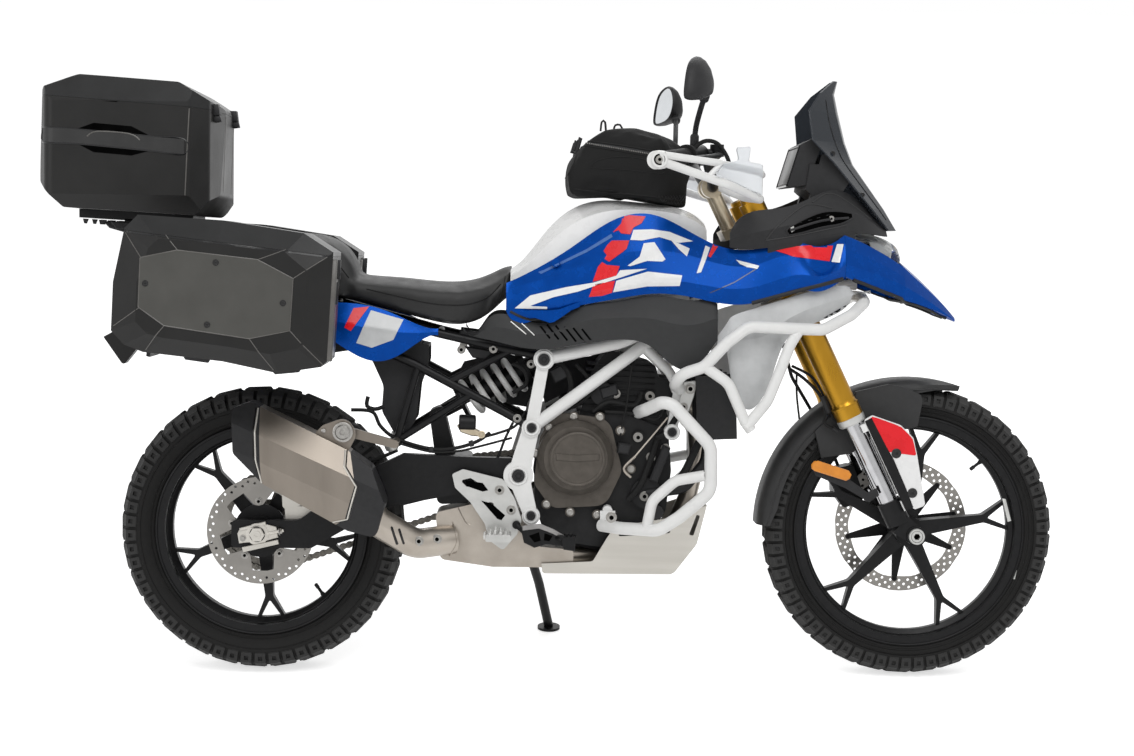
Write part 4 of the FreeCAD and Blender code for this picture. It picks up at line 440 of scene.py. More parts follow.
def socket_bolt(origin, direction, radius=9, high=7, steps=18):
    """Round head with a washer and a hexagonal recess."""
    # Each recess is noted so that a disc of painted shade can be laid in it further on.
    WELLS.append((Vector(origin), Vector(direction), radius, high))
    return spin(
        [
            (radius * 1.35, -1), (radius * 1.35, 1.2), (radius * 1.28, 1.6), (radius, 1.6),
            (radius, high - 1), (radius - 1, high), (radius * 0.55, high), (radius * 0.52, high, True),
            (radius * 0.5, high * 0.4, True)
        ],
        origin, direction, steps
    )


def hex_bolt(origin, direction, radius=8, high=6):
    """Hexagonal head on a flange."""
    return spin(
        [
            (radius * 1.45, -1), (radius * 1.45, 1.2), (radius * 1.2, 2), (radius, 2, True),
            (radius, high - 1, True), (radius * 0.9, high, True)
        ],
        origin, direction, 24
    )


def plug_cap(origin, direction, radius, high=4):
    """Rounded plastic plug with a hexagonal recess."""
    return spin(
        [
            (radius, -2), (radius, high * 0.4), (radius * 0.9, high), (radius * 0.62, high),
            (radius * 0.6, high, True), (radius * 0.56, high * 0.3, True)
        ],
        origin, direction, 24
    )


def between(before, start, end, after, t):
    """Point at a share of the way from start to end on a smooth curve through four points."""
    return 0.5 * (
        2 * start + (end - before) * t + (2 * before - 5 * start + 4 * end - after) * t * t
        + (3 * start - before - 3 * end + after) * t * t * t
    )


def smooth_path(points, step=6.0):
    """Points along a curve through the given ones."""
    points = [Vector(p) for p in points]
    out = [points[0]]
    for i in range(len(points) - 1):
        before = points[max(i - 1, 0)]
        after = points[min(i + 2, len(points) - 1)]
        start, end = points[i], points[i + 1]
        count = max(1, round((end - start).length / step))
        out += [between(before, start, end, after, k / count) for k in range(1, count + 1)]
    return out


def pipe(points, radius, sides=8, step=6.0, curved=True):
    """Round bar along a path; radius may be a list, one for each given point."""
    path = smooth_path(points, step) if curved else [Vector(p) for p in points]
    radii = radius if isinstance(radius, (list, tuple)) else [radius] * 2
    tangent = (path[1] - path[0]).normalized()
    _, side, _ = axes_for(tangent)
    rings = []
    for i, p in enumerate(path):
        ahead = (path[min(i + 1, len(path) - 1)] - path[max(i - 1, 0)]).normalized()
        side = (side - ahead * side.dot(ahead)).normalized()
        other = ahead.cross(side)
        share = i / (len(path) - 1) * (len(radii) - 1)
        low = min(int(share), len(radii) - 2)
        r = radii[low] + (radii[low + 1] - radii[low]) * (share - low)
        for k in range(sides):
            angle = math.tau * k / sides
            rings.append(p + (side * math.cos(angle) + other * math.sin(angle)) * r)
    faces = bands(len(path), sides)
    faces.append(tuple(reversed(range(sides))))
    faces.append(tuple(range(len(rings) - sides, len(rings))))
    return rings, faces


def inset(outline, gap):
    """The outline moved inward by the gap; its points go round either way."""
    count = len(outline)
    area = sum(
        outline[i][0] * outline[(i + 1) % count][1] - outline[(i + 1) % count][0] * outline[i][1]
        for i in range(count)
    )
    turn = 1 if area > 0 else -1
    out = []
    for i in range(count):
        before = Vector(outline[i - 1])
        here = Vector(outline[i])
        after = Vector(outline[(i + 1) % count])
        one = (here - before).normalized()
        two = (after - here).normalized()
        normal_one = Vector((-one.y, one.x)) * turn
        normal_two = Vector((-two.y, two.x)) * turn
        middle = normal_one + normal_two
        scale = middle.length_squared / 2
        out.append(here + middle * (gap / max(scale, 0.35)))
    return [(p.x, p.y) for p in out]


def slab(outline, y_low, y_high, bevel=1.0):
    """Plate in the x-z plane with bevelled edges, between two y values."""
    small = inset(outline, bevel)
    low, high = min(y_low, y_high), max(y_low, y_high)
    rows = [(small, low), (outline, low + bevel), (outline, high - bevel), (small, high)]
    points = [(x, y, z) for shape, y in rows for x, z in shape]
    count = len(outline)
    faces = bands(len(rows), count)
    faces.append(tuple(reversed(range(count))))
    faces.append(tuple(range(3 * count, 4 * count)))
    return points, faces


def flipped(part):
    """The same part on the machine's other side."""
    points, faces = part
    return [(p[0], -p[1], p[2]) for p in points], [tuple(reversed(f)) for f in faces]


def both(parts):
    return parts + [flipped(p) for p in parts]


def skin_of(*names):
    """Search tree of solids, in millimetres on the upright machine."""
    points, faces = [], []
    for name in names:
        mesh = nodes[name].data
        start = len(points)
        points.extend(FROM_ROW @ v.co / MM for v in mesh.vertices)
        faces.extend([start + i for i in p.vertices] for p in mesh.polygons)
    return BVHTree.FromPolygons(points, faces)


def land(tree, x, z, side, lift):
    """The point of the skin seen from one side at x and z, lifted off it."""
    spot, normal, _, _ = tree.ray_cast(Vector((x, side * 700, z)), Vector((0, -side, 0)))
    if spot is None:
        return None
    if normal.y * side < 0:
        normal = -normal
    return spot + (normal + Vector((0, side, 0))).normalized() * lift


def film(outline, tree, side=-1, lift=0.7, step=9.0, jump=30.0):
    """Thin patch laid on the skin inside an outline of x and z."""
    work = bmesh.new()
    work.faces.new([work.verts.new((x, 0, z)) for x, z in outline])
    for axis, k in ((Vector((1, 0, 0)), 0), (Vector((0, 0, 1)), 1)):
        low = min(p[k] for p in outline)
        high = max(p[k] for p in outline)
        value = low + step
        while value < high:
            bmesh.ops.bisect_plane(
                work, geom=work.verts[:] + work.edges[:] + work.faces[:], plane_co=axis * value,
                plane_no=axis
            )
            value += step
    bmesh.ops.triangulate(work, faces=work.faces[:])
    lost = []
    for v in work.verts:
        spot = land(tree, v.co.x, v.co.z, side, lift)
        if spot is None:
            lost.append(v)
        else:
            v.co = spot
    bmesh.ops.delete(work, geom=lost, context="VERTS")
    steep = [f for f in work.faces if max(v.co.y for v in f.verts) - min(v.co.y for v in f.verts) > jump]
    bmesh.ops.delete(work, geom=steep, context="FACES")
    work.normal_update()
    for f in work.faces:
        if f.normal.y * side < 0:
            f.normal_flip()
    work.verts.index_update()
    points = [v.co.copy() for v in work.verts]
    faces = [tuple(v.index for v in f.verts) for f in work.faces]
    work.free()
    return points, faces


def ribbon(line, width):
    """Outline of a band along a line of x and z points."""
    left, right = [], []
    for i, p in enumerate(line):
        before = Vector(line[max(i - 1, 0)])
        after = Vector(line[min(i + 1, len(line) - 1)])
        along = (after - before).normalized()
        across = Vector((-along.y, along.x)) * width / 2
        left.append((p[0] + across.x, p[1] + across.y))
        right.append((p[0] - across.x, p[1] - across.y))
    return left + right[::-1]


def bead(line, radius, tree, side=-1, lift=0.0, step=7.0, sides=6):
    """Round bead along a line of x and z points, lying on the skin."""
    flat = smooth_path([(x, 0, z) for x, z in line], step)
    spots = [land(tree, p.x, p.z, side, lift) for p in flat]
    spots = [s for s in spots if s is not None]
    return pipe(spots, radius, sides, curved=False) if len(spots) > 1 else ([], [])


SIDES = (-1, 1)


def films(outlines, tree, lift=0.7, step=9.0, jump=30.0):
    """Thin patches on both sides of the machine."""
    return [film(o, tree, s, lift, step, jump) for o in outlines for s in SIDES]


def beads(lines, radius, tree, lift=0.0, step=7.0):
    """Round beads on both sides of the machine."""
    return [bead(line, radius, tree, s, lift, step) for line in lines for s in SIDES]


def on_skin(tree, x, z, side=-1):
    """The point of the skin at x and z, or one beside the machine where there is none."""
    spot = land(tree, x, z, side, 0.0)
    return Vector((x, side * 100 if spot is None else spot.y, z))


def seats(tree, spots):
    """Places on the skin with the way they face, on both sides of the machine."""
    return [(on_skin(tree, x, z, s), (0, s, 0)) for x, z in spots for s in SIDES]


# Tyres

ROUND_STEPS = 96


def tyre_profile(outer, half, rim_r, tread):
    """Half of the carcass section as (radius, offset from the middle), bead first."""
    return [
        (rim_r - 3, half * 0.60), (rim_r + 3, half * 0.68), (rim_r + 8, half * 0.75),
        (rim_r + 10, half * 0.765), (rim_r + 12, half * 0.75), (rim_r + 24, half * 0.90),
        (outer - 46, half * 0.965), (outer - 40, half * 0.95), (outer - 30, half * 0.90),
        (outer - 20, half * 0.80), (outer - tread - 3, half * 0.56), (outer - tread, half * 0.28),
        (outer - tread, 0)
    ]


def crown(outer, half, offset):
    """Outer radius of the tread at an offset from the tyre's middle."""
    return outer - 0.5 - (abs(offset) / half) ** 2.4 * 26


def block(x, z, angles, offsets, outer, half, tread):
    """One tread block between angles and offsets given at its four corners."""
    mid_a = sum(angles) / 4
    mid_y = sum(offsets) / 4
    points = []
    for lift, share in ((-tread, 1.0), (-1.0, 0.93), (0.0, 0.84)):
        for a, y in zip(angles, offsets):
            a = mid_a + (a - mid_a) * share
            y = mid_y + (y - mid_y) * share
            r = crown(outer, half, y) + lift
            points.append((x + r * math.cos(a), y, z + r * math.sin(a)))
    return points, bands(3, 4) + [(8, 9, 10, 11)]


def shoulder_block(x, z, start, end, outer, half, side):
    """Block on the tyre's edge that runs down onto the sidewall, with a rectangular recess in its face."""
    rows = [
        (crown(outer, half, half * 0.54), 0.54), (crown(outer, half, half * 0.80), 0.80), (outer - 17, 0.905),
        (outer - 23, 0.95), (outer - 33, 0.99), (outer - 40, 1.0), (outer - 42, 0.955),
    ]
    shares = (0.0, 0.30, 0.70, 1.0)
    points, faces = [], []

    def spot(r, share, a):
        points.append((x + r * math.cos(a), side * half * share, z + r * math.sin(a)))

    for r, share in rows:
        for t in shares:
            spot(r, share, start + (end - start) * t)
    across = len(shares)
    hole_row, hole_column = 3, 1
    for i in range(len(rows) - 1):
        for k in range(across - 1):
            if i != hole_row or k != hole_column:
                a = i * across + k
                faces.append((a, a + 1, a + across + 1, a + across))
    # Walls of the block, and the sunk floor of its recess
    top = len(points)
    for r, share in rows:
        for t in (0.0, 1.0):
            spot(r - 9, share - 0.14, start + (end - start) * t)
    for i in range(len(rows) - 1):
        for k, column in enumerate((0, across - 1)):
            a = i * across + column
            b = top + i * 2 + k
            faces.append((a, a + across, b + 2, b))
    low = (len(rows) - 1) * across
    faces.append((low, low + across - 1, top + 2 * len(rows) - 1, top + 2 * len(rows) - 2))
    corners = [hole_row * across + hole_column, hole_row * across + hole_column + 1,
               (hole_row + 1) * across + hole_column + 1, (hole_row + 1) * across + hole_column]
    sunk = len(points)
    for (r, share), t in zip((rows[3], rows[3], rows[4], rows[4]), (0.33, 0.67, 0.67, 0.33)):
        spot(r - (0.8 if r == rows[3][0] else -0.8), share - 0.075, start + (end - start) * t)
    for k in range(4):
        faces.append((corners[k], corners[(k + 1) % 4], sunk + (k + 1) % 4, sunk + k))
    faces.append((sunk, sunk + 1, sunk + 2, sunk + 3))
    return points, faces


def build_tyre(name, x, z, outer, width, rim_r, body, count):
    half = width / 2
    tread = 7.0
    side = tyre_profile(outer, half, rim_r, tread)
    profile = [(r, -y) for r, y in side] + [(r, y) for r, y in reversed(side[:-1])]
    carcass = spin(profile, (x, 0, z), ACROSS, ROUND_STEPS)
    carcass = (carcass[0], carcass[1][:-2])
    rings, blocks = [carcass], []
    pitch = math.tau / count
    for k in range(count):
        a = k * pitch
        for hand in (-1, 1):
            blocks.append(shoulder_block(x, z, a + pitch * 0.10, a + pitch * 0.86, outer, half, hand))
            if k % 2 == 0:
                blocks.append(block(
                    x, z, (a, a + pitch * 1.62, a + pitch * 1.74, a + pitch * 0.14),
                    (hand * half * 0.04, hand * half * 0.04, hand * half * 0.22, hand * half * 0.22),
                    outer, half, tread,
                ))
                blocks.append(block(
                    x, z, (a + pitch * 0.20, a + pitch * 1.78, a + pitch * 1.86, a + pitch * 0.30),
                    (hand * half * 0.28, hand * half * 0.28, hand * half * 0.49, hand * half * 0.49),
                    outer, half, tread,
                ))
    # Moulded ribs on the sidewalls
    for hand in (-1, 1):
        for r, inner, lift in ((rim_r + 15, 0.795, 0.9), (outer - 50, 0.965, 0.9)):
            ring = [(r - 1.2, hand * (half * inner - 0.8)), (r, hand * (half * inner + lift)),
                    (r + 1.2, hand * (half * (inner + 0.012) - 0.8))]
            made = spin(ring, (x, 0, z), ACROSS, ROUND_STEPS)
            rings.append((made[0], made[1][:-2]))
    piece(name + "_carcass", rings, TYRE, body, 40, (body.replace("wheel", "tyre"),))
    piece(name + "_blocks", blocks, TYRE_BLOCKS, body, 30)


build_tyre("front_tyre", WHEELBASE, FRONT_AXLE_Z, FRONT_TYRE_R, FRONT_TYRE_W, FRONT_RIM_R, "front_wheel", 66)
build_tyre("rear_tyre", 0, REAR_AXLE_Z, REAR_TYRE_R, REAR_TYRE_W, REAR_RIM_R, "rear_wheel", 58)


# Stripes and patches on the painted panels, and a painted highlight along their crease

PANEL = skin_of("side_panels")
BEAK = skin_of("front_beak", "side_panels")
TAIL = skin_of("tail_covers")
COVER = skin_of("lower_side_covers")

RED_PANEL = [
    [
        (798, 1037), (846, 1034), (837, 1019), (819, 1009), (812, 994), (792, 996), (787, 1003), (774, 998),
        (792, 1017)
    ],
    [
        (772, 980), (810, 981), (804, 963), (796, 956), (766, 934), (756, 940), (761, 948), (754, 957),
        (762, 970)
    ],
    [(751, 933), (761, 927), (789, 925), (782, 904), (740, 892), (731, 890), (742, 923)],
    [(733, 884), (779, 893), (773, 867), (753, 860), (723, 857)],
    [(990, 968), (994, 977), (1007, 975), (986, 946), (981, 949)]
]
WHITE_PANEL = [
    [(819, 1004), (860, 1006), (897, 1001), (949, 981), (917, 977), (875, 989), (837, 981), (812, 982)],
    [(841, 975), (864, 978), (888, 941), (881, 936), (848, 937), (812, 925), (806, 926), (832, 946)],
    [(782, 893), (850, 914), (924, 907), (919, 884), (849, 882), (775, 868)],
    [
        (562, 829), (596, 858), (672, 877), (732, 888), (782, 904), (790, 916), (848, 920), (785, 898),
        (699, 868), (646, 855), (596, 835), (633, 834), (633, 829)
    ],
    [(899, 984), (941, 965), (934, 948), (917, 963)], [(976, 972), (986, 968), (965, 914), (955, 912)],
    [(1042, 942), (1072, 935), (1092, 930), (1087, 923), (1065, 927), (1050, 933)]
]
# Band along the upper crease of the side panels: painted highlight.
CREASE_HIGHLIGHT_OUTLINES = [
    [(612, 909), (625, 914), (718, 961), (771, 995), (774, 988), (718, 954), (642, 917), (619, 905)],
]
RED_BEAK = [[(1117, 967), (1200, 976), (1255, 976), (1248, 942), (1168, 951)]]
WHITE_BEAK = [[(1265, 980), (1281, 980), (1271, 939), (1252, 941)]]
RED_TAIL = [[(209, 824), (243, 828), (204, 774), (190, 782)]]
WHITE_TAIL = [[(247, 820), (318, 800), (297, 756), (250, 738), (216, 748)]]
CREASE_LIFT = 0.5
PATCH_LIFT = 1.1
PATCH_STEP = 5
for patches, outlines, tree, lift, colour in (
    ("panel_crease_painted_highlight", CREASE_HIGHLIGHT_OUTLINES, PANEL, CREASE_LIFT, PAINTED_CREASE_BLUE),
    ("red_stripes", RED_PANEL, PANEL, PATCH_LIFT, RED),
    ("white_patches", WHITE_PANEL, PANEL, PATCH_LIFT, WHITE),
    ("red_beak_wedges", RED_BEAK, BEAK, PATCH_LIFT, RED),
    ("white_beak_bars", WHITE_BEAK, BEAK, PATCH_LIFT, WHITE),
    ("red_tail_patches", RED_TAIL, TAIL, PATCH_LIFT, RED),
    ("white_tail_patches", WHITE_TAIL, TAIL, PATCH_LIFT, SILVER_PANEL),
):
    piece(patches, films(outlines, tree, lift, PATCH_STEP), colour)
TRIM = [
    (552, 822), (590, 806), (647, 800), (686, 829), (773, 851), (859, 861), (919, 856), (966, 850),
    (1034, 833), (1153, 868), (1280, 902)
]


def low_edge(tree, x, start, side):
    """Lowest point of a skin at x, looking down from a height on it."""
    best = None
    z = start
    while z > start - 160:
        spot = land(tree, x, z, side, 0)
        if spot is not None:
            best = spot
        elif best is not None:
            break
        z -= 1.0
    return best


def edge_run(tree, line, side, step=12):
    """Points along the lower edge of a skin below a line of x and z points."""
    spots = [low_edge(tree, p.x, p.z, side) for p in smooth_path([(x, 0, z) for x, z in line], step)]
    return [s for s in spots if s is not None]


BEAK_TRIM = [(1304, 930), (1360, 922), (1443, 890), (1498, 862), (1540, 830)]
piece("panel_edge_strips", beads([TRIM], 3.2, PANEL), BLACK_PLASTIC)
piece(
    "beak_edge_strips", [pipe(edge_run(BEAK, BEAK_TRIM, s), 4.2, 8, curved=False) for s in SIDES],
    BLACK_PLASTIC
)
piece("panel_joints", films([ribbon([(985, 870), (1038, 894), (1091, 927)], 2.0)], PANEL), DARK_BLUE)
COVER_SLOTS = [[(614 + 19 * k, 797 - 2 * k), (640 + 19 * k, 765 - 2 * k)] for k in range(6)]
# Slots in the grey cover, filled with painted shade.
piece("cover_slot_painted_shade", films([ribbon(o, 4.0) for o in COVER_SLOTS], COVER, 0.5), PAINTED_SHADE)
COVER_RIBS = [[(554, 800), (588, 773)], [(574, 800), (606, 771)]]
piece("cover_ribs", beads(COVER_RIBS, 1.4, COVER, 0.2), SILVER_PAINT)


# Brake discs, chain and wheel fittings

def circle(x, z, radius, steps):
    return [polar(x, z, radius, math.tau * k / steps) for k in range(steps)]


def pierced(outer, holes, y_low, thick):
    """Flat plate in the x-z plane with holes right through."""
    work = bmesh.new()
    for outline in [outer] + holes:
        ring = [work.verts.new((x, y_low, z)) for x, z in outline]
        for i, v in enumerate(ring):
            work.edges.new((v, ring[(i + 1) % len(ring)]))
    bmesh.ops.triangle_fill(work, use_beauty=True, edges=work.edges[:], normal=(0, -1, 0))
    made = bmesh.ops.extrude_face_region(work, geom=work.faces[:])
    bmesh.ops.translate(
        work, verts=[g for g in made["geom"] if isinstance(g, bmesh.types.BMVert)], vec=(0, thick, 0)
    )
    bmesh.ops.recalc_face_normals(work, faces=work.faces[:])
    work.verts.index_update()
    part = [v.co.copy() for v in work.verts], [tuple(v.index for v in f.verts) for f in work.faces]
    work.free()
    return part


FRONT_DISC_R = 153.0
FRONT_DISC_BAND = 32.0
REAR_DISC_R = 120.0
REAR_DISC_BAND = 28.0
HUB_HALF = 60.0
DISC_T = 4.5
DISC_STEPS = 120
DISC_ARMS = 10
TAB_R = 66.0
TABS = 5


def hole_rows(x, z, rows, radius):
    """Small holes in staggered rows of (distance, count, share of the step)."""
    out = []
    for distance, count, shift in rows:
        for k in range(count):
            out.append(circle(*polar(x, z, distance, math.tau * (k + shift) / count), radius, 8))
    return out


def front_disc():
    x, z = WHEELBASE, FRONT_AXLE_Z
    inner_r = FRONT_DISC_R - FRONT_DISC_BAND
    outer = [
        polar(x, z, FRONT_DISC_R - (1.2 if k % 12 < 3 else 0), math.tau * k / DISC_STEPS)
        for k in range(DISC_STEPS)
    ]
    inside = []
    for k in range(60):
        a = math.tau * k / 60
        inside.append(polar(x, z, inner_r + 1.5 * math.cos(10 * a), a))
    rows = [(FRONT_DISC_R - 6.5, 40, 0), (FRONT_DISC_R - 15, 40, 0.5), (FRONT_DISC_R - 24, 40, 0)]
    band = pierced(outer, [inside] + hole_rows(x, z, rows, 3.4), HUB_HALF + 4, DISC_T)
    piece("front_disc_band", [band], DISC_STEEL, "front_wheel", 32, ("front_brake_disc",))
    arms = []
    for k in range(DISC_ARMS):
        a = math.tau * (k + 0.35) / DISC_ARMS
        ahead, side = Vector((math.cos(a), math.sin(a))), Vector((-math.sin(a), math.cos(a)))
        near, far = 40, inner_r + 3
        shape = [
            ahead * near - side * 15, ahead * far - side * 6, ahead * far + side * 6,
            ahead * near + side * 15
        ]
        arms.append(slab([(x + p.x, z + p.y) for p in shape], HUB_HALF + 3.5, HUB_HALF + 9, 0.8))
        spot = ahead * (far + 1)
        rivet = [(6.5, -3.6), (6.5, 3.4), (3, 3.6), (3, -3.6)]
        arms.append(spin(rivet, (x + spot.x, HUB_HALF + 6.2, z + spot.y), ACROSS, 12))
    arms.append(spin([(34, 0), (48, 0), (48, 6), (34, 6), (34, 0)], (x, HUB_HALF + 3.4, z), ACROSS, 40))
    piece("front_disc_carrier", arms, BLACK_SATIN, "front_wheel")


def rear_disc():
    x, z = 0.0, REAR_AXLE_Z
    inner_r = REAR_DISC_R - REAR_DISC_BAND
    inner, tabs, bolts = [], [], []
    hub_profile = [(20, 10), (56, 10), (60, 4), (60, -1), (20, -1), (20, 10)]
    hub = [spin(hub_profile, (x, -HUB_HALF - 7, z), ACROSS, 40)]
    for k in range(TABS):
        a = math.radians(22) + math.tau * k / TABS
        for offset, r in (
            (-30, inner_r), (-21, inner_r), (-9, TAB_R - 7), (0, TAB_R - 10), (9, TAB_R - 7), (21, inner_r)
        ):
            inner.append(polar(x, z, r, a + math.radians(offset)))
        tab_x, tab_z = polar(x, z, TAB_R, a)
        spot = (tab_x, -HUB_HALF - 10, tab_z)
        tabs.append(circle(tab_x, tab_z, 4, 10))
        bolts.append(socket_bolt(spot, RIGHT, 6.5, 5))
        hub.append(spin([(5, 4), (11, 6), (13, 12)], spot, ACROSS, 12))
    rows = [(REAR_DISC_R - 7, 24, 0), (REAR_DISC_R - 13, 24, 0.5)]
    holes = [inner] + tabs + hole_rows(x, z, rows, 3.2)
    band = pierced(circle(x, z, REAR_DISC_R, DISC_STEPS), holes, -HUB_HALF - 10, DISC_T)
    piece("rear_disc_band", [band], DISC_STEEL, "rear_wheel", 32, ("rear_brake_disc",))
    piece("rear_disc_bolts", bolts, BOLT_STEEL, "rear_wheel")
    piece("rear_disc_hub", hub, BLACK_SATIN, "rear_wheel")


front_disc()
rear_disc()

CHAIN_Y = 83.0
CHAIN_PITCH = 15.875
REAR_TEETH = 43
FRONT_TEETH = 15
FRONT_SPROCKET = (612.0, 455.0)


def chain_route():
    """Points one pitch apart along the chain, round both sprockets."""
    rear = Vector((0.0, REAR_AXLE_Z))
    front = Vector(FRONT_SPROCKET)
    big = CHAIN_PITCH / 2 / math.sin(math.pi / REAR_TEETH)
    small = CHAIN_PITCH / 2 / math.sin(math.pi / FRONT_TEETH)
    gap = front - rear
    lean = math.atan2(gap.y, gap.x)
    tilt = math.asin((big - small) / gap.length)
    dense = []
    for k in range(181):
        a = lean + math.pi / 2 - tilt + (math.pi + 2 * tilt) * k / 180
        dense.append(rear + Vector((math.cos(a), math.sin(a))) * big)
    for k in range(91):
        a = lean - math.pi / 2 + tilt + (math.pi - 2 * tilt) * k / 90
        dense.append(front + Vector((math.cos(a), math.sin(a))) * small)
    dense.append(dense[0])
    lengths = [0.0]
    for a, b in zip(dense, dense[1:]):
        lengths.append(lengths[-1] + (b - a).length)
    count = round(lengths[-1] / CHAIN_PITCH / 2) * 2
    out = []
    at_piece = 0
    for k in range(count):
        target = lengths[-1] * k / count
        while lengths[at_piece + 1] < target:
            at_piece += 1
        share = (target - lengths[at_piece]) / (lengths[at_piece + 1] - lengths[at_piece])
        out.append(dense[at_piece].lerp(dense[at_piece + 1], share))
    return out


def link_plate(a, b, y, thick):
    """Waisted side plate of one link."""
    ahead = (b - a).normalized()
    side = Vector((-ahead.y, ahead.x))
    length = (b - a).length
    shape = []
    for along, out in (
        (-5, 3), (-3, 6.4), (0, 7.2), (3.5, 6.6), (length / 2, 4.6), (length - 3.5, 6.6), (length, 7.2),
        (length + 3, 6.4), (length + 5, 3)
    ):
        shape.append(a + ahead * along + side * out)
    for along, out in (
        (length + 5, 3), (length + 3, 6.4), (length, 7.2), (length - 3.5, 6.6), (length / 2, 4.6),
        (3.5, 6.6), (0, 7.2), (-3, 6.4), (-5, 3)
    ):
        shape.append(a + ahead * along - side * out)
    return slab([(p.x, p.y) for p in shape], y, y + thick, 0.4)


def build_chain():
    route = chain_route()
    parts = []
    for k, p in enumerate(route):
        after = route[(k + 1) % len(route)]
        inner = k % 2
        offset = 5.0 if inner else 7.4
        parts.append(link_plate(p, after, CHAIN_Y - offset - 1, 2.0))
        parts.append(link_plate(p, after, CHAIN_Y + offset - 1, 2.0))
        parts.append(spin([(4.6, -4), (4.6, 4)], (p.x, CHAIN_Y, p.y), ACROSS, 8))
        parts.append(spin([(2.6, -9.6), (2.6, 9.6)], (p.x, CHAIN_Y, p.y), ACROSS, 6))
    piece("roller_chain", parts, CHAIN, "chassis", 32, ("drive_chain",))


build_chain()


def valve(x, z, degrees, rim_r, body, name):
    outer = polar(x, z, rim_r - 28, math.radians(degrees))
    inner = polar(x, z, rim_r - 58, math.radians(degrees + 1.5))
    start = Vector((outer[0], 0, outer[1]))
    end = Vector((inner[0], -12, inner[1]))
    stem = [(6, 0), (5, 5), (3.6, 9), (3.4, 22), (4.4, 23), (4.4, 33), (3.2, 34)]
    piece(name, [spin(stem, start, end - start, 12)], BLACK_PLASTIC, body)


valve(WHEELBASE, FRONT_AXLE_Z, 43, FRONT_RIM_R, "front_wheel", "front_valve")
valve(0, REAR_AXLE_Z, -49, REAR_RIM_R, "rear_wheel", "rear_valve")


def rim_rings(name, x, z, rim_r, half, body):
    """Rounded lip and a step on each side of the rim."""
    parts = []
    for hand in SIDES:
        for r, y, size in (
            (rim_r + 1.5, half + 0.5, 2.6), (rim_r - 12, half - 3, 1.6), (rim_r - 21, half - 8, 1.4)
        ):
            ring = [
                (r + size * math.cos(a), hand * y + size * math.sin(a))
                for a in [math.tau * k / 8 for k in range(8)]
            ]
            parts.append(spin(ring + [ring[0]], (x, 0, z), ACROSS, ROUND_STEPS))
    piece(name, parts, BLACK_SATIN, body)


rim_rings("front_rim_rings", WHEELBASE, FRONT_AXLE_Z, FRONT_RIM_R, 38, "front_wheel")
rim_rings("rear_rim_rings", 0, REAR_AXLE_Z, REAR_RIM_R, 51, "rear_wheel")
FRONT_TYRE = skin_of("front_tyre")
piece(
    "rim_sticker", [slab([(1676, 409), (1684, 408), (1698, 358), (1690, 356)], -39.8, -38.6, 0.2)],
    SILVER_PAINT, "front_wheel"
)
piece(
    "balance_mark", [film([(1709, 246), (1715, 244), (1710, 224), (1704, 226)], FRONT_TYRE, -1, 1.2, 20)],
    SILVER_PAINT, "front_wheel"
)

# Rear axle adjuster

ADJUSTER = [
    slab([(-44, 322), (-40, 330), (16, 345), (42, 338), (46, 314), (20, 306), (-40, 300)], -131, -127, 1),
    slab([(-40, 334), (18, 350), (20, 342), (-38, 327)], -133, -126, 1),
    slab([(-34, 292), (46, 310), (48, 300), (-30, 281)], -135, -126, 1),
    hex_bolt((0, -131, REAR_AXLE_Z), RIGHT, 17, 9),
    spin([(8, 0), (8, 3), (5, 3), (5, 0.5)], (0, -139, REAR_AXLE_Z), RIGHT, 20),
    pipe([(20, -130, 322), (58, -130, 330)], 4, 8),
]
piece("axle_adjuster", both(ADJUSTER), ALUMINIUM)
piece(
    "adjuster_nuts",
    both([hex_bolt((48, -130, 328), (1, 0, 0.2), 7, 6), hex_bolt((-32, -131, 312), RIGHT, 5, 4)]),
    BOLT_STEEL
)


# Engine, frame and guard fastenings

ENGINE_SKIN = skin_of("engine", "engine_covers")
FRAME_SKIN = skin_of("main_frame")
HEEL_SKIN = skin_of("heel_plates")
PLUGS = [((628, 717), 13), ((603, 566), 10), ((575, 459), 14), ((604, 371), 10), ((915, 558), 10)]
frame_plugs, boss_rings = [], []
for spot, r in PLUGS:
    boss = [
        (r + 1.5, -2), (r + 7.5, -2), (r + 7.5, 1.5), (r + 6, 3.2), (r + 2.5, 3.2), (r + 1.5, 2),
        (r + 1.5, -2)
    ]
    for place, way in seats(FRAME_SKIN, [spot]):
        frame_plugs.append(plug_cap(place, way, r, 5))
        boss_rings.append(spin(boss, place, way, 28))
piece("frame_plugs", frame_plugs, BLACK_PLASTIC)
piece("frame_boss_rings", boss_rings, WHITE_FRAME)
FRAME_BOLTS = seats(skin_of("main_frame", "subframe"), ((600, 704), (571, 584), (445, 734), (516, 737)))
piece("frame_bolts", [socket_bolt(*seat, 7, 7) for seat in FRAME_BOLTS], BOLT_STEEL)
cover_top = on_skin(ENGINE_SKIN, 701, 500).y
COVER_RING = [(54, -1), (54.5, 1.6), (57, 2.4), (59.5, 1.6), (60, -1), (54, -1)]
COVER_BAR = [(656, 512), (704, 509), (752, 512), (752, 498), (704, 494), (658, 497)]
piece(
    "clutch_cover_ring",
    [
        spin(COVER_RING, (705, cover_top, 500), RIGHT, 64),
        slab(COVER_BAR, cover_top - 2.4, cover_top + 1, 1),
    ],
    BRONZE,
)
EARS = [
    (696, 590), (754, 590), (641, 566), (612, 508), (825, 475), (751, 372), (691, 377), (638, 394),
    (800, 560)
]
ears, ear_bolts = [], []
for ex, ez in EARS:
    y = min(on_skin(ENGINE_SKIN, ex, ez).y, -121)
    ears.append(spin([(9, 16), (9, 1), (11, 0), (11, -1), (8, -2)], (ex, y, ez), ACROSS, 16))
    ear_bolts.append(hex_bolt((ex, y - 2, ez), RIGHT, 5.4, 5))
piece("cover_ears", ears, BRONZE)
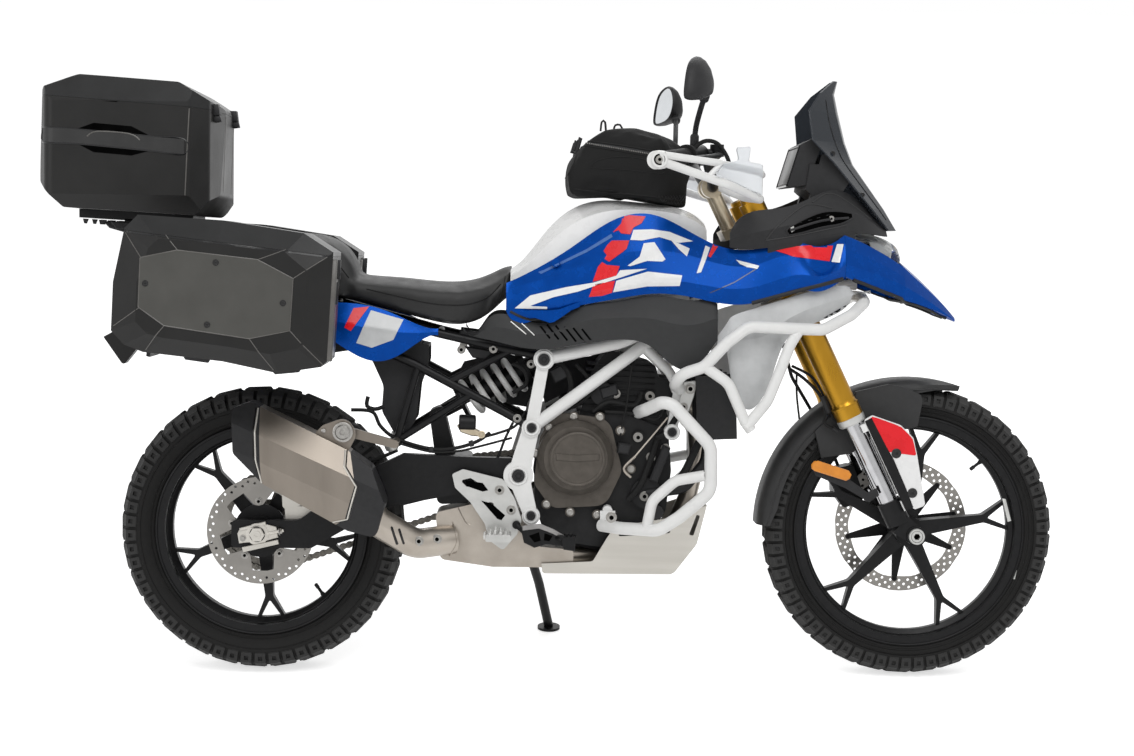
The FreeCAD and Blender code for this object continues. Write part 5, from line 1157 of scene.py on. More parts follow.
piece("cover_bolts", ear_bolts, BOLT_STEEL)
piece(
    "engine_bolts",
    [socket_bolt(on_skin(ENGINE_SKIN, *p), RIGHT, 8, 8)
     for p in ((866, 636), (840, 545), (902, 520), (870, 500), (856, 414), (790, 640), (887, 379))],
    BOLT_STEEL,
)
piece(
    "guard_bolts",
    both([
        socket_bolt((777, -242, 382), RIGHT, 9, 8), socket_bolt((951, -150, 657), RIGHT, 9, 8),
        socket_bolt((937, -150, 617), RIGHT, 7, 7),
    ]),
    BOLT_STEEL,
)
piece(
    "guard_mount_plates",
    both([slab([(936, 672), (968, 676), (960, 640), (948, 602), (922, 606), (930, 640)], -150, -143, 1.5)]),
    SILVER_PAINT
)
HEEL_BOLTS = seats(HEEL_SKIN, ((534, 428), (560, 384)))
piece("heel_plate_bolts", [socket_bolt(*seat, 8, 6) for seat in HEEL_BOLTS], BOLT_STEEL)

# Cables, hoses and small boxes in the engine bay
BAY = [
    ([(829, -118, 712), (822, -124, 690), (813, -126, 617), (806, -126, 585), (800, -124, 549)], 2.0),
    ([(847, -104, 644), (830, -112, 616), (774, -112, 623), (740, -108, 600)], 5.5),
    ([(766, -106, 600), (829, -114, 597), (879, -112, 585), (900, -100, 610)], 4.5),
    ([(757, -104, 667), (710, -110, 622), (663, -108, 600), (640, -104, 590)], 6.0),
    ([(650, -100, 720), (680, -104, 690), (690, -106, 650), (672, -104, 612)], 6.5),
    ([(700, -102, 705), (730, -106, 670), (722, -104, 640)], 4.5),
    ([(885, -112, 548), (872, -120, 506), (847, -122, 440), (820, -118, 405)], 7.0),
    ([(960, -104, 640), (930, -112, 600), (905, -116, 560), (880, -118, 545)], 7.5),
    ([(988, -100, 560), (960, -112, 500), (935, -116, 455), (900, -114, 430)], 9.0),
    ([(562, -112, 575), (544, -116, 537), (530, -116, 499), (512, -112, 470)], 3.0),
    ([(492, -112, 540), (530, -116, 551), (567, -114, 567), (590, -108, 600)], 3.0),
    ([(560, -100, 640), (590, -104, 660), (585, -104, 690), (560, -100, 705)], 4.5),
]
piece("bay_hoses", [pipe(p, r, 8) for p, r in BAY], RUBBER)
piece("left_bay_hoses", [flipped(pipe(p, r, 8)) for p, r in BAY[1:8]], RUBBER)
piece("bay_wire", [pipe([(904, -128, 591), (861, -134, 539), (822, -132, 491)], 1.8, 6),
                   pipe([(833, -140, 505), (808, -141, 478), (824, -140, 458)], 3.0, 8)], STEEL)
piece(
    "bay_boxes",
    [
        slab([(796, 534), (824, 530), (818, 508), (792, 512)], -140, -110, 3),
        slab([(983, 676), (1008, 676), (1008, 640), (983, 640)], -128, -100, 3),
        slab([(866, 452), (896, 530), (912, 522), (884, 446)], -132, -104, 4),
        slab([(752, 652), (790, 664), (796, 640), (760, 628)], -112, -96, 3),
        slab([(640, 690), (672, 706), (684, 676), (654, 662)], -106, -88, 3),
        spin([(18, 0), (20, 3), (20, 10), (14, 14), (6, 15)], (1012, -112, 600), RIGHT, 24),
        spin([(13, 0), (15, 2), (15, 12), (9, 14)], (884, -118, 379), RIGHT, 20),
    ],
    BLACK_PLASTIC,
)
FIN_REAR, FIN_FRONT, FIN_LOW, FIN_PITCH, FIN_HALF = 704.0, 880, 600, 13, 92
fins = []
for k in range(9):
    rear, front, z = FIN_REAR + 3 * k, FIN_FRONT - 0.6 * k, FIN_LOW + FIN_PITCH * k
    fins.append(slab([(rear, z), (front, z - 4), (front, z - 1), (rear, z + 3)], -FIN_HALF, FIN_HALF, 0.6))
piece("cylinder_fins", fins, ENGINE)


# Front end

LEG_Y = 105.0
LEG_FOOT = Vector((1446.1, 0, 322.5))
LEG_AHEAD = Vector((0.8988, 0, 0.4384))
LEG_UP = Vector((-0.4384, 0, 0.8988))


def on_fork(ahead, y, up):
    """Point beside the fork leg's line: ahead of it, out from the middle and up from the axle."""
    return LEG_FOOT + LEG_AHEAD * ahead + LEG_UP * up + Vector((0, y, 0))


LOWER_RING = [(23, 287), (29, 287), (31.2, 290), (31.8, 303), (30, 305), (23, 305), (23, 287)]
TUBE_STEP = [(30.8, 329), (31.6, 330), (31.6, 333), (29, 337), (28.1, 344)]
FORK_CAP = [(21.4, 840), (20, 843), (12, 843), (11.5, 843, True), (11, 839, True)]
fork_rings, fork_steps, fork_caps = [], [], []
for side in SIDES:
    foot = on_fork(0, side * LEG_Y, 0)
    fork_rings.append(spin(LOWER_RING, foot, LEG_UP, 36))
    fork_steps.append(spin(TUBE_STEP, foot, LEG_UP, 36))
    fork_caps.append(spin(FORK_CAP, foot, LEG_UP, 24))
piece("fork_lower_rings", fork_rings, SILVER_PAINT, "front_end")
piece("fork_steps", fork_steps, GOLD, "front_end")
piece("fork_caps", fork_caps, CHAMPAGNE, "front_end")
GUARD_SKIN = skin_of("fork_guards")
RED_GUARD = [
    (26, 284.5), (43, 286.5), (50, 281), (84, 247), (92, 237), (101, 212), (103, 203), (101, 190), (96, 169),
    (92, 168), (70, 182), (46, 198), (26, 208),
]
RED_GUARD = [(p.x, p.z) for p in (on_fork(a, 0, b) for a, b in RED_GUARD)]
piece("fork_guard_red", films([RED_GUARD], GUARD_SKIN, 0.6, PATCH_STEP), RED, "front_end")
GUARD_SCREW = [(11, -1), (11, 1), (9, 2.4), (5, 2.4), (4, 3.2), (3.6, 3.2, True), (3.4, 1, True)]
GUARD_SCREWS = seats(GUARD_SKIN, ((1414, 518), (1452, 430)))
piece("fork_guard_screws", [spin(GUARD_SCREW, *seat, 24) for seat in GUARD_SCREWS], BLACK_BOLT, "front_end")
REFLECTOR = [
    (1224, 491), (1230, 499), (1240, 500), (1308, 479), (1314, 470), (1311, 461), (1302, 456), (1232, 477),
    (1225, 482)
]
piece("fork_reflectors", both([slab(REFLECTOR, -142, -134, 2.5)]), AMBER, "front_end")
BRACKET = [
    (1230, 478), (1312, 458), (1352, 430), (1372, 440), (1378, 424), (1356, 408), (1300, 440), (1236, 466)
]
piece("reflector_brackets", both([slab(BRACKET, -134.5, -130, 1)]), BLACK_PLASTIC, "front_end")
HOSES = [
    (
        [
            (1180, -70, 700), (1215, -84, 676), (1249, -92, 639), (1262, -94, 600), (1258, -92, 580),
            (1282, -92, 566)
        ],
        3.6
    ),
    ([(1186, -66, 706), (1229, -80, 683), (1254, -88, 645), (1270, -92, 606), (1284, -94, 586)], 3.2),
    ([(1196, -76, 690), (1196, -84, 643), (1203, -84, 588)], 2.4)
]
piece("fork_hoses", [pipe(p, r, 8) for p, r in HOSES], RUBBER, "front_end")
piece(
    "hose_guides",
    [pipe([(1254, -94, 640), (1268, -96, 604)], 7, 8), pipe([(1278, -92, 570), (1290, -92, 562)], 6, 8)],
    BLACK_PLASTIC, "front_end"
)


def open_spin(profile, at, axis, count):
    """Turned ring without end faces."""
    points, faces = spin(profile, at, axis, count)
    return points, faces[:-2]


AXLE_END = -(LEG_Y + 28)
AXLE_COLLAR = [(18, 18), (18, 2), (17, 0), (13.4, 0), (13, 3)]
AXLE_MOUTH = [(13.5, 4), (13.5, -1), (12, -3), (7.8, -3), (7.6, -3, True), (7.4, 5, True)]
piece(
    "axle_ends",
    [
        open_spin(AXLE_COLLAR, (WHEELBASE, AXLE_END - 1, FRONT_AXLE_Z), ACROSS, 28),
        open_spin(AXLE_MOUTH, (WHEELBASE, AXLE_END + 2, FRONT_AXLE_Z), ACROSS, 24),
    ],
    SILVER_PAINT, "front_end",
)
GUARD_WEB = [(23, 285), (40, 285), (43, 213), (46, 180), (44, 109), (41, 64), (23, 64)]
GUARD_WEB = [(p.x, p.z) for p in (on_fork(a, 0, b) for a, b in GUARD_WEB)]
GUARD_FACE = on_skin(GUARD_SKIN, 1430, 470).y
piece(
    "fork_guard_webs", both([slab(GUARD_WEB, GUARD_FACE - 1.5, GUARD_FACE + 8, 0.5)]), BLACK_SATIN,
    "front_end"
)
BAR_END = (854, -435, 1145)
BAR_END_WAY = Vector((856 - 972, 205 - 432, 1146 - 1172)).normalized()
END_RING = [(19, -14), (19, 2), (17, 4.5), (12, 4.5), (11, 3)]
END_BOLT = [(11, 0), (11, 5), (9, 7), (6.5, 7), (6, 7, True), (5.8, 3, True)]
piece("bar_end_rings", both([spin(END_RING, BAR_END, BAR_END_WAY, 28)]), WHITE_FRAME, "front_end")
piece("bar_end_bolts", both([spin(END_BOLT, BAR_END, BAR_END_WAY, 24)]), BOLT_STEEL, "front_end")

# Screen, display, lamp and cowl
SCREEN_SKIN = skin_of("windscreen")
FOLD = [(1250, 1300), (1257, 1250), (1278, 1188), (1300, 1150), (1392, 1036)]
piece("screen_folds", beads([FOLD], 1.3, SCREEN_SKIN, 0.2), BLACK_GLOSS)
SCREEN_SCREWS = seats(SCREEN_SKIN, ((1262, 1180), (1330, 1090)))
piece("screen_screws", [plug_cap(*seat, 6, 3) for seat in SCREEN_SCREWS], BLACK_BOLT)
FAIRING_SKIN = skin_of("fairing")
VENT = [
    (1152, 1006), (1163, 1018), (1219, 1045), (1259, 1052), (1303, 1048), (1305, 1039), (1276, 1024),
    (1234, 1016), (1183, 1002), (1158, 998)
]
COWL_CREASES = [
    [(1106, 985), (1134, 1018), (1188, 1060), (1217, 1066), (1257, 1058)],
    [(1106, 985), (1160, 994), (1233, 1009), (1290, 1022)],
    [(1212, 1070), (1245, 1090), (1278, 1084), (1352, 1036)]
]
VENT_BAR = [(1160, 1008), (1230, 1030), (1294, 1038)]
VENT_SCREWS = seats(FAIRING_SKIN, [(1254, 1035)])
LIGHT_BIT = [(1163, 1004), (1170, 1008), (1168, 1018), (1161, 1014)]
# Vent opening in the cowl: a film of painted shade.
piece("cowl_vent_painted_shade", films([VENT], FAIRING_SKIN, 0.6, 6), PAINTED_SHADE)
piece("cowl_creases", beads(COWL_CREASES, 1.6, FAIRING_SKIN, 0.2), FENDER_PLASTIC)
piece("cowl_vent_rims", beads([VENT + [VENT[0]]], 2.2, FAIRING_SKIN), BLACK_PLASTIC)
piece("cowl_vent_bars", beads([VENT_BAR], 3.0, FAIRING_SKIN, 1), BLACK_PLASTIC)
piece("cowl_screws", [socket_bolt(*seat, 5, 4, 12) for seat in VENT_SCREWS], BOLT_STEEL)
piece("cowl_light_bits", films([LIGHT_BIT], FAIRING_SKIN, 1.4, 20), SILVER_PAINT)

DISPLAY_LOW, DISPLAY_HIGH = Vector((1163, 0, 1104)), Vector((1192, 0, 1200))
DISPLAY_UP = (DISPLAY_HIGH - DISPLAY_LOW).normalized()
DISPLAY_OUT = Vector((-DISPLAY_UP.z, 0, DISPLAY_UP.x))


def on_display(y, up, out):
    return DISPLAY_LOW + DISPLAY_UP * up + DISPLAY_OUT * out + Vector((0, y, 0))


def panel_block(place, half, low, high, out_low, out_high, edge):
    """Bevelled rectangle on a slanted face."""
    rows = [
        (half, low, high, out_low), (half, low, high, out_high - edge),
        (half - edge, low + edge, high - edge, out_high)
    ]
    points = []
    for h, a, b, out in rows:
        points += [place(-h, a, out), place(h, a, out), place(h, b, out), place(-h, b, out)]
    return points, bands(3, 4) + [(8, 9, 10, 11), (3, 2, 1, 0)]


# Display face in flat grey: painted reflection on its glass.
piece("display_glass_painted_reflection", [panel_block(on_display, 84, 8, 92, -2, 1.6, 1.2)], DISPLAY_REFLECTION_GREY)
DISPLAY_RIM = [on_display(y, up, 1) for y, up in ((-88, 4), (88, 4), (88, 96), (-88, 96), (-88, 4))]
piece("display_rim", [pipe(DISPLAY_RIM, 2.2, 8, curved=False)], BLACK_GLOSS)

LAMP_BOWL = [(1312, 990), (1372, 986), (1404, 962), (1398, 938), (1318, 915)]
lamp_parts, lamp_bowls = [], []
for side in SIDES:
    for x, y, z, r in ((1372, 46, 962, 21), (1352, 78, 968, 17)):
        dome = [(r, 0), (r, 8), (r * 0.8, 14), (r * 0.4, 17), (0.1, 18)]
        lamp_parts.append(spin(dome, (x - 14, side * y, z), (1, 0, 0.12), 28))
    lamp_bowls.append(slab(LAMP_BOWL, side * 20, side * 66, 3))
piece("lamp_lenses", lamp_parts, CHROME)
piece("lamp_bowl", lamp_bowls, SILVER_PAINT)

# Mirrors' glass, on the side that faces the rider
MIRROR_SPOT = Vector((922, 410, 1314))
MIRROR_TURN = math.radians(22)
MIRROR_OUTLINE = [(-15, 45), (-43, 36), (-54, 6), (-38, -25), (-5, -39), (49, -42), (48, -8), (27, 28)]


def rounded(outline, per=5):
    """Closed smooth curve through the points of an outline."""
    count = len(outline)
    out = []
    for i in range(count):
        corners = [Vector(outline[(i + k - 1) % count]) for k in range(4)]
        out += [between(*corners, k / per) for k in range(per)]
    return out


def on_mirror(side, across, up, ahead):
    """Point on a mirror head: across and up from its middle, ahead of its glass."""
    x = MIRROR_SPOT.x + ahead * math.cos(MIRROR_TURN) - across * math.sin(MIRROR_TURN)
    y = MIRROR_SPOT.y + ahead * math.sin(MIRROR_TURN) + across * math.cos(MIRROR_TURN)
    return Vector((x, side * y, MIRROR_SPOT.z + up))


def mirror_rings(side, rings):
    """Shell through scaled copies of the outline, given as scale, distance ahead and shift across and up."""
    curve = rounded(MIRROR_OUTLINE)
    count = len(curve)
    points = [on_mirror(side, p.x * k + a, p.y * k + b, d) for k, d, a, b in rings for p in curve]
    faces = bands(len(rings), count)
    faces.append(tuple((len(rings) - 1) * count + k for k in range(count)))
    return points, faces


SHELL_RINGS = [
    (0.90, 2.0, 0, 0), (0.955, -2.0, 0, 0), (1.01, -2.5, 0, 0), (1.05, 2, 0, 0), (1.04, 9, 0, -1),
    (0.95, 19, -2, -4), (0.74, 29, -5, -9), (0.45, 36, -9, -15), (0.15, 39, -11, -19)
]
GLASS_RINGS = [
    (0.94, 1.2, 0, 0), (0.93, 0.2, 0, 0), (0.90, 0.0, 0, 0), (0.45, -0.5, 0, 0), (0.05, -0.6, 0, 0)
]
MIRROR_STEM = [(940, 268, 1190), (942, 279, 1224), (947, 340, 1262), (952, 392, 1288)]
piece(
    "mirror_heads",
    [mirror_rings(s, SHELL_RINGS) for s in SIDES]
    + both([
        pipe([(x, -y, z) for x, y, z in MIRROR_STEM], 6, 14),
        spin([(9, -16), (9.5, -15), (9.5, 17), (8, 20), (6.2, 22)], (940, -268, 1187), (0, -0.12, 1), 24),
        spin([(7.5, -9), (10.5, -6), (10.5, 6), (7.5, 9)], (950, -374, 1279), (0.1, -0.86, 0.5), 20),
    ]),
    BLACK_PLASTIC, "front_end", 34, ("mirrors",),
)
piece("mirror_glass", [mirror_rings(s, GLASS_RINGS) for s in SIDES], MIRROR, "front_end")

# Front mudguard, drawn out to a point in front

FENDER_TOP = FRONT_TYRE_R + 14
FENDER_HALF = FRONT_TYRE_W / 2 + 13
FENDER_WALL = 4.0
own = [FROM_ROW @ v.co / MM for v in nodes["front_fender"].data.vertices]
bearings = [math.atan2(p.z - FRONT_AXLE_Z, p.x - WHEELBASE) for p in own
            if math.hypot(p.z - FRONT_AXLE_Z, p.x - WHEELBASE) > FENDER_TOP - 1]
FENDER_FRONT, FENDER_REAR = min(bearings), max(bearings)


def fender_row(a):
    """Points of the outer and the inner skin at one bearing."""
    front = min(1.0, (a - FENDER_FRONT) / math.radians(22))
    rear = min(1.0, (FENDER_REAR - a) / math.radians(7))
    full = min(0.06 + 0.94 * front ** 0.8, 0.7 + 0.3 * rear)
    half = FENDER_HALF * (0.62 + 0.38 * min(1.0, front * 1.4) ** 0.6)
    skirt = FENDER_TOP + FENDER_WALL - 40 * full - 1
    shoulder = FENDER_TOP - 22 * full
    shape = [(skirt, half), (shoulder - 3, half), (shoulder + 6, half - 2.5), (FENDER_TOP - 3, half - 12),
             (FENDER_TOP + FENDER_WALL - 1, half - 24), (FENDER_TOP + FENDER_WALL, half * 0.3)]
    across = [(r, -y) for r, y in shape] + [(r, y) for r, y in reversed(shape)]
    rows = []
    for sink, narrow in ((0.0, 0.0), (FENDER_WALL, FENDER_WALL - 1)):
        for i, (r, y) in enumerate(across):
            r = r - sink if 0 < i < len(across) - 1 else r
            y = y - math.copysign(min(narrow, abs(y)), y)
            rows.append((WHEELBASE + r * math.cos(a), y, FRONT_AXLE_Z + r * math.sin(a)))
    return rows


def fender_shell(steps=44):
    points = []
    for k in range(steps + 1):
        points += fender_row(FENDER_FRONT + (FENDER_REAR - FENDER_FRONT) * k / steps)
    per = len(points) // (steps + 1)
    n = per // 2
    faces = []
    for k in range(steps):
        a, b = k * per, (k + 1) * per
        for i in range(n - 1):
            faces.append((a + i, a + i + 1, b + i + 1, b + i))
            faces.append((a + n + i + 1, a + n + i, b + n + i, b + n + i + 1))
        for i in (0, n - 1):
            faces.append((a + i, b + i, b + n + i, a + n + i))
    for a in (0, steps * per):
        for i in range(n - 1):
            faces.append((a + i, a + i + 1, a + n + i + 1, a + n + i))
    return points, faces


STAY_REAR = [(1256, 500), (1322, 510), (1342, 522), (1372, 560), (1320, 640), (1240, 560)]
STAY_FRONT = [
    (1322, 590), (1372, 556), (1458, 569), (1472, 574), (1482, 630), (1478, 645), (1440, 662), (1405, 668),
    (1330, 650)
]
piece(
    "front_mudguard",
    [fender_shell()] + both([slab(o, -FENDER_HALF + 1, -LEG_Y + 31, 1.2) for o in (STAY_REAR, STAY_FRONT)]),
    FENDER_PLASTIC, "front_end", 34, ("front_fender",),
)
FENDER_EDGE = [fender_row(FENDER_FRONT + (FENDER_REAR - FENDER_FRONT) * k / 40)[1] for k in range(3, 41)]
piece(
    "mudguard_lips", both([pipe([(x, y - 0.5, z) for x, y, z in FENDER_EDGE], 1.5, 6, curved=False)]),
    FENDER_PLASTIC, "front_end"
)

# Bolts at the ends of the hand guards, and the hose of the front brake

GUARD_TUBES = skin_of("hand_guards")
guard_ends = seats(GUARD_TUBES, [(853, 1145)])
piece(
    "guard_end_rings",
    [spin([(17, -8), (17, 0.5), (15.5, 2.5), (12, 2.5), (11.5, 0.5)], p, d, 32) for p, d in guard_ends],
    WHITE_FRAME, "front_end"
)
piece(
    # Painted shade in the well of the end ring and, below, in the screw's socket.
    "guard_end_well_painted_shade", [spin([(11.6, 0.2), (11.4, 1.2), (0.2, 1.3)], p, d, 28) for p, d in guard_ends],
    PAINTED_SHADE, "front_end"
)
# The guard-end screws carry their own painted shade on the front end, so they stay off the chassis list.
chassis_wells = list(WELLS)
piece("guard_end_screws", [socket_bolt(p, d, 6.4, 5) for p, d in guard_ends], BOLT_STEEL, "front_end")
piece(
    "guard_end_socket_painted_shade", [spin([(3.6, 5.1), (3.4, 5.3), (0.2, 5.3)], p, d, 12) for p, d in guard_ends],
    PAINTED_SHADE, "front_end"
)
WELLS[:] = chassis_wells
BRAKE_HOSE = [
    (940, -290, 1176), (947, -285, 1186), (964, -280, 1194), (986, -272, 1191), (1002, -262, 1176),
    (1014, -250, 1158), (1020, -238, 1140)
]
piece("brake_hose", [pipe(BRAKE_HOSE, 4.6, 10)], RUBBER, "front_end")

# Cases

PANNIER_FACE = 482.0
PANNIER_CENTRE = [
    (-196, 930), (-122, 946), (40, 929), (112, 892), (106, 786), (24, 769), (-148, 793), (-200, 830)
]
piece("pannier_faces", both([slab(PANNIER_CENTRE, -PANNIER_FACE - 1.8, -PANNIER_FACE + 1, 1.4)]), CASE_FACE)
# Raised rim round the face plate, in the lighter grey of a painted highlight.
FACE_RIM = [(x, -PANNIER_FACE - 0.6, z) for x, z in PANNIER_CENTRE + [PANNIER_CENTRE[0]]]
piece("pannier_face_rim_highlights", both([pipe(FACE_RIM, 1.5, 6, curved=False)]), CASE_HIGHLIGHT)
PANNIER_SKIN = skin_of("pannier_box_right", "pannier_lid_right", "pannier_box_left", "pannier_lid_left")
# Lighter lines along the facet creases of the panniers: painted highlights.
FACETS = [
    [(-122, 947), (-146, 976)], [(112, 892), (178, 936)], [(106, 786), (170, 716)], [(24, 769), (70, 704)],
    [(-148, 793), (-190, 742)], [(-196, 830), (-256, 790)], [(40, 929), (96, 950)],
    [(-196, 930), (-232, 980)]
]
piece("pannier_crease_highlights", beads(FACETS, 1.0, PANNIER_SKIN, 0.0, 9), CASE_HIGHLIGHT)
CASE_SCREW = [(6.5, -1), (6.5, 0.6), (5, 2.2), (3, 2.2), (2.8, 2.2, True), (2.6, 0.8, True)]
CASE_SCREWS = ((-44, 922), (-186, 878), (-61, 796), (92, 842))
piece(
    "pannier_screws",
    both([spin(CASE_SCREW, (x, -PANNIER_FACE - 1.8, z), RIGHT, 18) for x, z in CASE_SCREWS]), BLACK_BOLT
)
# Dark band just below the lid seam: painted shade in the gap between lid and box.
SEAM_LOW = [(-254, 985), (-100, 968), (40, 952.5), (184, 936)]
BOX_SKIN = skin_of("pannier_box_right", "pannier_box_left")
piece("pannier_seam_painted_shade", films([ribbon(SEAM_LOW, 3.6)], BOX_SKIN, 0.4, 12), BLACK_GLOSS)
piece(
    "pannier_front_trims",
    both([
        slab([(182, 928), (197, 932), (187, 722), (172, 726)], -446, -438, 1.5),
        slab([(182, 928), (196, 932), (186, 722), (172, 726)], -418, -404, 1.5),
        slab([(182, 926), (192, 928), (182, 730), (172, 732)], -372, -330, 1.5),
    ]),
    CASE_HIGHLIGHT,
)
piece(
    "pannier_latches",
    both([
        slab([(180, 928), (201, 931), (199, 890), (178, 892)], -402, -376, 2.5),
        slab([(178, 886), (197, 884), (193, 838), (176, 842)], -398, -380, 2.5),
        slab([(-120, 735), (-60, 727), (-66, 716), (-112, 722)], -440, -420, 2),
        slab([(60, 706), (130, 713), (120, 699), (72, 694)], -440, -420, 2),
    ]),
    BLACK_PLASTIC,
)

TOP_SKIN = skin_of("top_case_box")
BAND = [
    (-449, 1203), (-370, 1199), (-220, 1187), (-146, 1181), (-146, 1150), (-220, 1156), (-370, 1168),
    (-449, 1172)
]
UPPER_HEX = [(-372, 1200), (-338, 1213), (-258, 1207), (-218, 1187)]
LOWER_HEX = [(-372, 1168), (-338, 1151), (-258, 1145), (-218, 1156)]
RIDGE = [(-352, 1184), (-330, 1195), (-262, 1191), (-240, 1178)]
TOP_SEAM = [(-456, 1270), (-300, 1260), (-136, 1249.5)]
TOP_EDGE = [(-136, 1247), (-140, 1160), (-144, 1062)]
piece("top_case_band", films([BAND], TOP_SKIN, 1.4), CASE_BAND)
piece("top_case_band_edges", beads([BAND + [BAND[0]]], 1.7, TOP_SKIN, 0.6), BLACK_GLOSS)
# Hollows in the top case, filled with painted shade.
piece("top_case_hollow_painted_shade", films((UPPER_HEX, LOWER_HEX), TOP_SKIN, 0.8), PAINTED_SHADE)
# Ridge on the top case in the lighter grey: painted highlight.
piece("top_case_ridge_highlights", beads([RIDGE], 1.6, TOP_SKIN, 1.4), CASE_HIGHLIGHT)
# Gap between the top case's lid and box: a band of painted shade.
piece("top_case_seam_painted_shade", films([ribbon(TOP_SEAM, 3.4)], TOP_SKIN, 0.5, 12), PAINTED_SHADE)
# Edge line of the top case in the lighter grey: painted highlight.
piece("top_case_edge_highlights", beads([TOP_EDGE], 1.4, TOP_SKIN, 0.3, 9), CASE_HIGHLIGHT)


def across_case(y, z, out=0.0):
    """Point on the top case's front at a height, its bulged plan followed by three straight runs."""
    plan = [(-192, -99), (-60, -82), (60, -82), (192, -99)]
    x = -99.0
    for (ya, xa), (yb, xb) in zip(plan, plan[1:]):
        if ya <= y <= yb:
            x = xa + (xb - xa) * (y - ya) / (yb - ya)
    return (x - (1256 - z) * 0.032 + out, y, z)


# Upright lines on the top case's front: painted highlights on its facet edges.
front_lines = []
for y in (-186, -64, 64, 186):
    front_lines.append(
        pipe([across_case(y, z, -0.2) for z in (1240, 1180, 1120, 1074)], 1.5, 6, curved=False)
    )
piece("top_case_front_line_highlights", front_lines, CASE_HIGHLIGHT)
latches = []
for y in (-150, 64):
    for low, high, out, wide in ((1236, 1262, 11, 15), (1222, 1238, 15, 11)):
        x = across_case(y, low)[0]
        latch = [(x - 6, low), (x + out, low + 3), (x + out - 3, high), (x - 6, high)]
        latches.append(slab(latch, y - wide, y + wide, 2))
piece("top_case_latches", latches, BLACK_PLASTIC)
teeth = []
for k in range(13):
    x = -392 + 20 * k
    z = 1010 - (x + 400) * 0.044
    teeth.append(slab([(x, z + 2), (x + 12, z + 1.4), (x + 8, z - 9), (x + 3, z - 8.6)], -92, -84, 0.6))
rack_parts = both(teeth)
rack_parts.append(slab([(-360, 1008), (-250, 1003), (-262, 986), (-300, 980), (-344, 992)], -40, 40, 3))
rack_parts += both([slab([(-330, 1006), (-270, 1004), (-282, 988), (-318, 990)], -96, -88, 1.5)])
piece("rack_teeth", rack_parts, BLACK_PLASTIC)

# Muffler and pipe
MUFFLER_SKIN = skin_of("muffler_body", "muffler_caps")
REAR_EDGE = [(13, 609), (9, 560), (11, 500), (22, 448)]
FRONT_EDGE = [(201, 520), (200, 486), (227, 444), (207, 371), (175, 363)]


def straight_bead(line, radius, tree, side=-1, lift=0.0, step=6.0):
    spots = []
    for a, b in zip(line, line[1:]):
        count = max(1, round((Vector(b) - Vector(a)).length / step))
        for k in range(count + 1):
            x, z = a[0] + (b[0] - a[0]) * k / count, a[1] + (b[1] - a[1]) * k / count
            spot = land(tree, x, z, side, lift)
            if spot is not None and (not spots or (spot - spots[-1]).length > 1):
                spots.append(spot)
    return pipe(spots, radius, 6, curved=False)


piece("muffler_edges", [straight_bead(e, 2.0, MUFFLER_SKIN) for e in (REAR_EDGE, FRONT_EDGE)], ALUMINIUM)
piece(
    "muffler_gaps",
    [
        straight_bead([(x + shift, z) for x, z in edge], 1.6, MUFFLER_SKIN)
        for edge, shift in ((REAR_EDGE, -4), (FRONT_EDGE, 4))
    ],
    BLACK_GLOSS
)
MUFFLER_EAR = skin_of("muffler_body")
piece("muffler_bolt", [
    spin([(22, -1), (22, 2), (19, 3), (16, 3), (16, 8), (14, 10), (7, 10), (6.5, 10, True), (6, 5, True)],
         on_skin(MUFFLER_EAR, 194, 558), RIGHT, 32),
    spin([(5, 0), (5, 4), (3, 5)], on_skin(MUFFLER_EAR, 152, 560), RIGHT, 12),
], BOLT_STEEL)
PIPE_SKIN = skin_of("exhaust_pipe")
SLOTS = [[(298, 349), (300, 352), (303, 350), (315, 312), (312, 309), (309, 311)],
         [(314, 344), (316, 347), (319, 345), (329, 313), (327, 310), (324, 312)]]
# Slots in the pipe's sleeve as black films: painted shade.
piece("sleeve_slot_painted_shade", [film(o, PIPE_SKIN, -1, 0.6, 7) for o in SLOTS], BLACK_GLOSS)
piece(
    "sleeve_screws", [socket_bolt(on_skin(PIPE_SKIN, *p), RIGHT, 8, 5) for p in ((359, 317), (398, 319))],
    BOLT_STEEL
)
piece(
    "pipe_seams",
    [
        bead([(430, 352), (441, 310), (424, 276)], 1.8, PIPE_SKIN),
        bead([(440, 388), (459, 352), (470, 346)], 1.5, PIPE_SKIN)
    ],
    STEEL
)

# Tail, subframe and swingarm fittings
piece("indicator_nodes", both([
    spin([(0.1, -9), (8, -8), (15, -3), (17, 2), (15, 10), (11, 14)], (293, -112, 520), (0, 1, 0), 8),
]), SILVER_PAINT)
piece("shock_reservoir", [
    spin([(16, 0), (18, 3), (18, 34), (16, 37), (8, 38)], (442, -112, 573), (1, 0, -0.02), 28),
], BLACK_SATIN)
piece(
    "reservoir_clamp",
    [
        slab(
            [(438, 566), (448, 574), (482, 558), (498, 550), (496, 542), (470, 544), (446, 552)], -122, -96,
            2
        ),
        hex_bolt((492, -122, 548), RIGHT, 6, 5)
    ],
    CHAMPAGNE
)
piece(
    "swingarm_hoses",
    [
        pipe(
            [
                (203, -112, 598), (250, -112, 594), (269, -112, 562), (306, -110, 534), (381, -118, 514),
                (437, -120, 517), (483, -118, 532), (511, -112, 551)
            ],
            4.0, 8
        ),
        pipe([(242, -112, 482), (279, -114, 497), (307, -112, 510)], 4.0, 8),
        pipe(
            [(300, -116, 528), (380, -121, 508), (440, -122, 510), (486, -116, 520), (560, -110, 540)], 2.6,
            8
        ),
        pipe([(240, -108, 628), (238, -110, 607), (256, -110, 600), (276, -108, 606)], 4.5, 8)
    ],
    RUBBER
)
CLIP = [(6.5, -5), (7, -4), (7, 4), (6.5, 5)]
CLIP_SEATS = (((381, -118, 512), (1, 0, 0.1)), ((470, -118, 527), (1, 0, 0.35)))
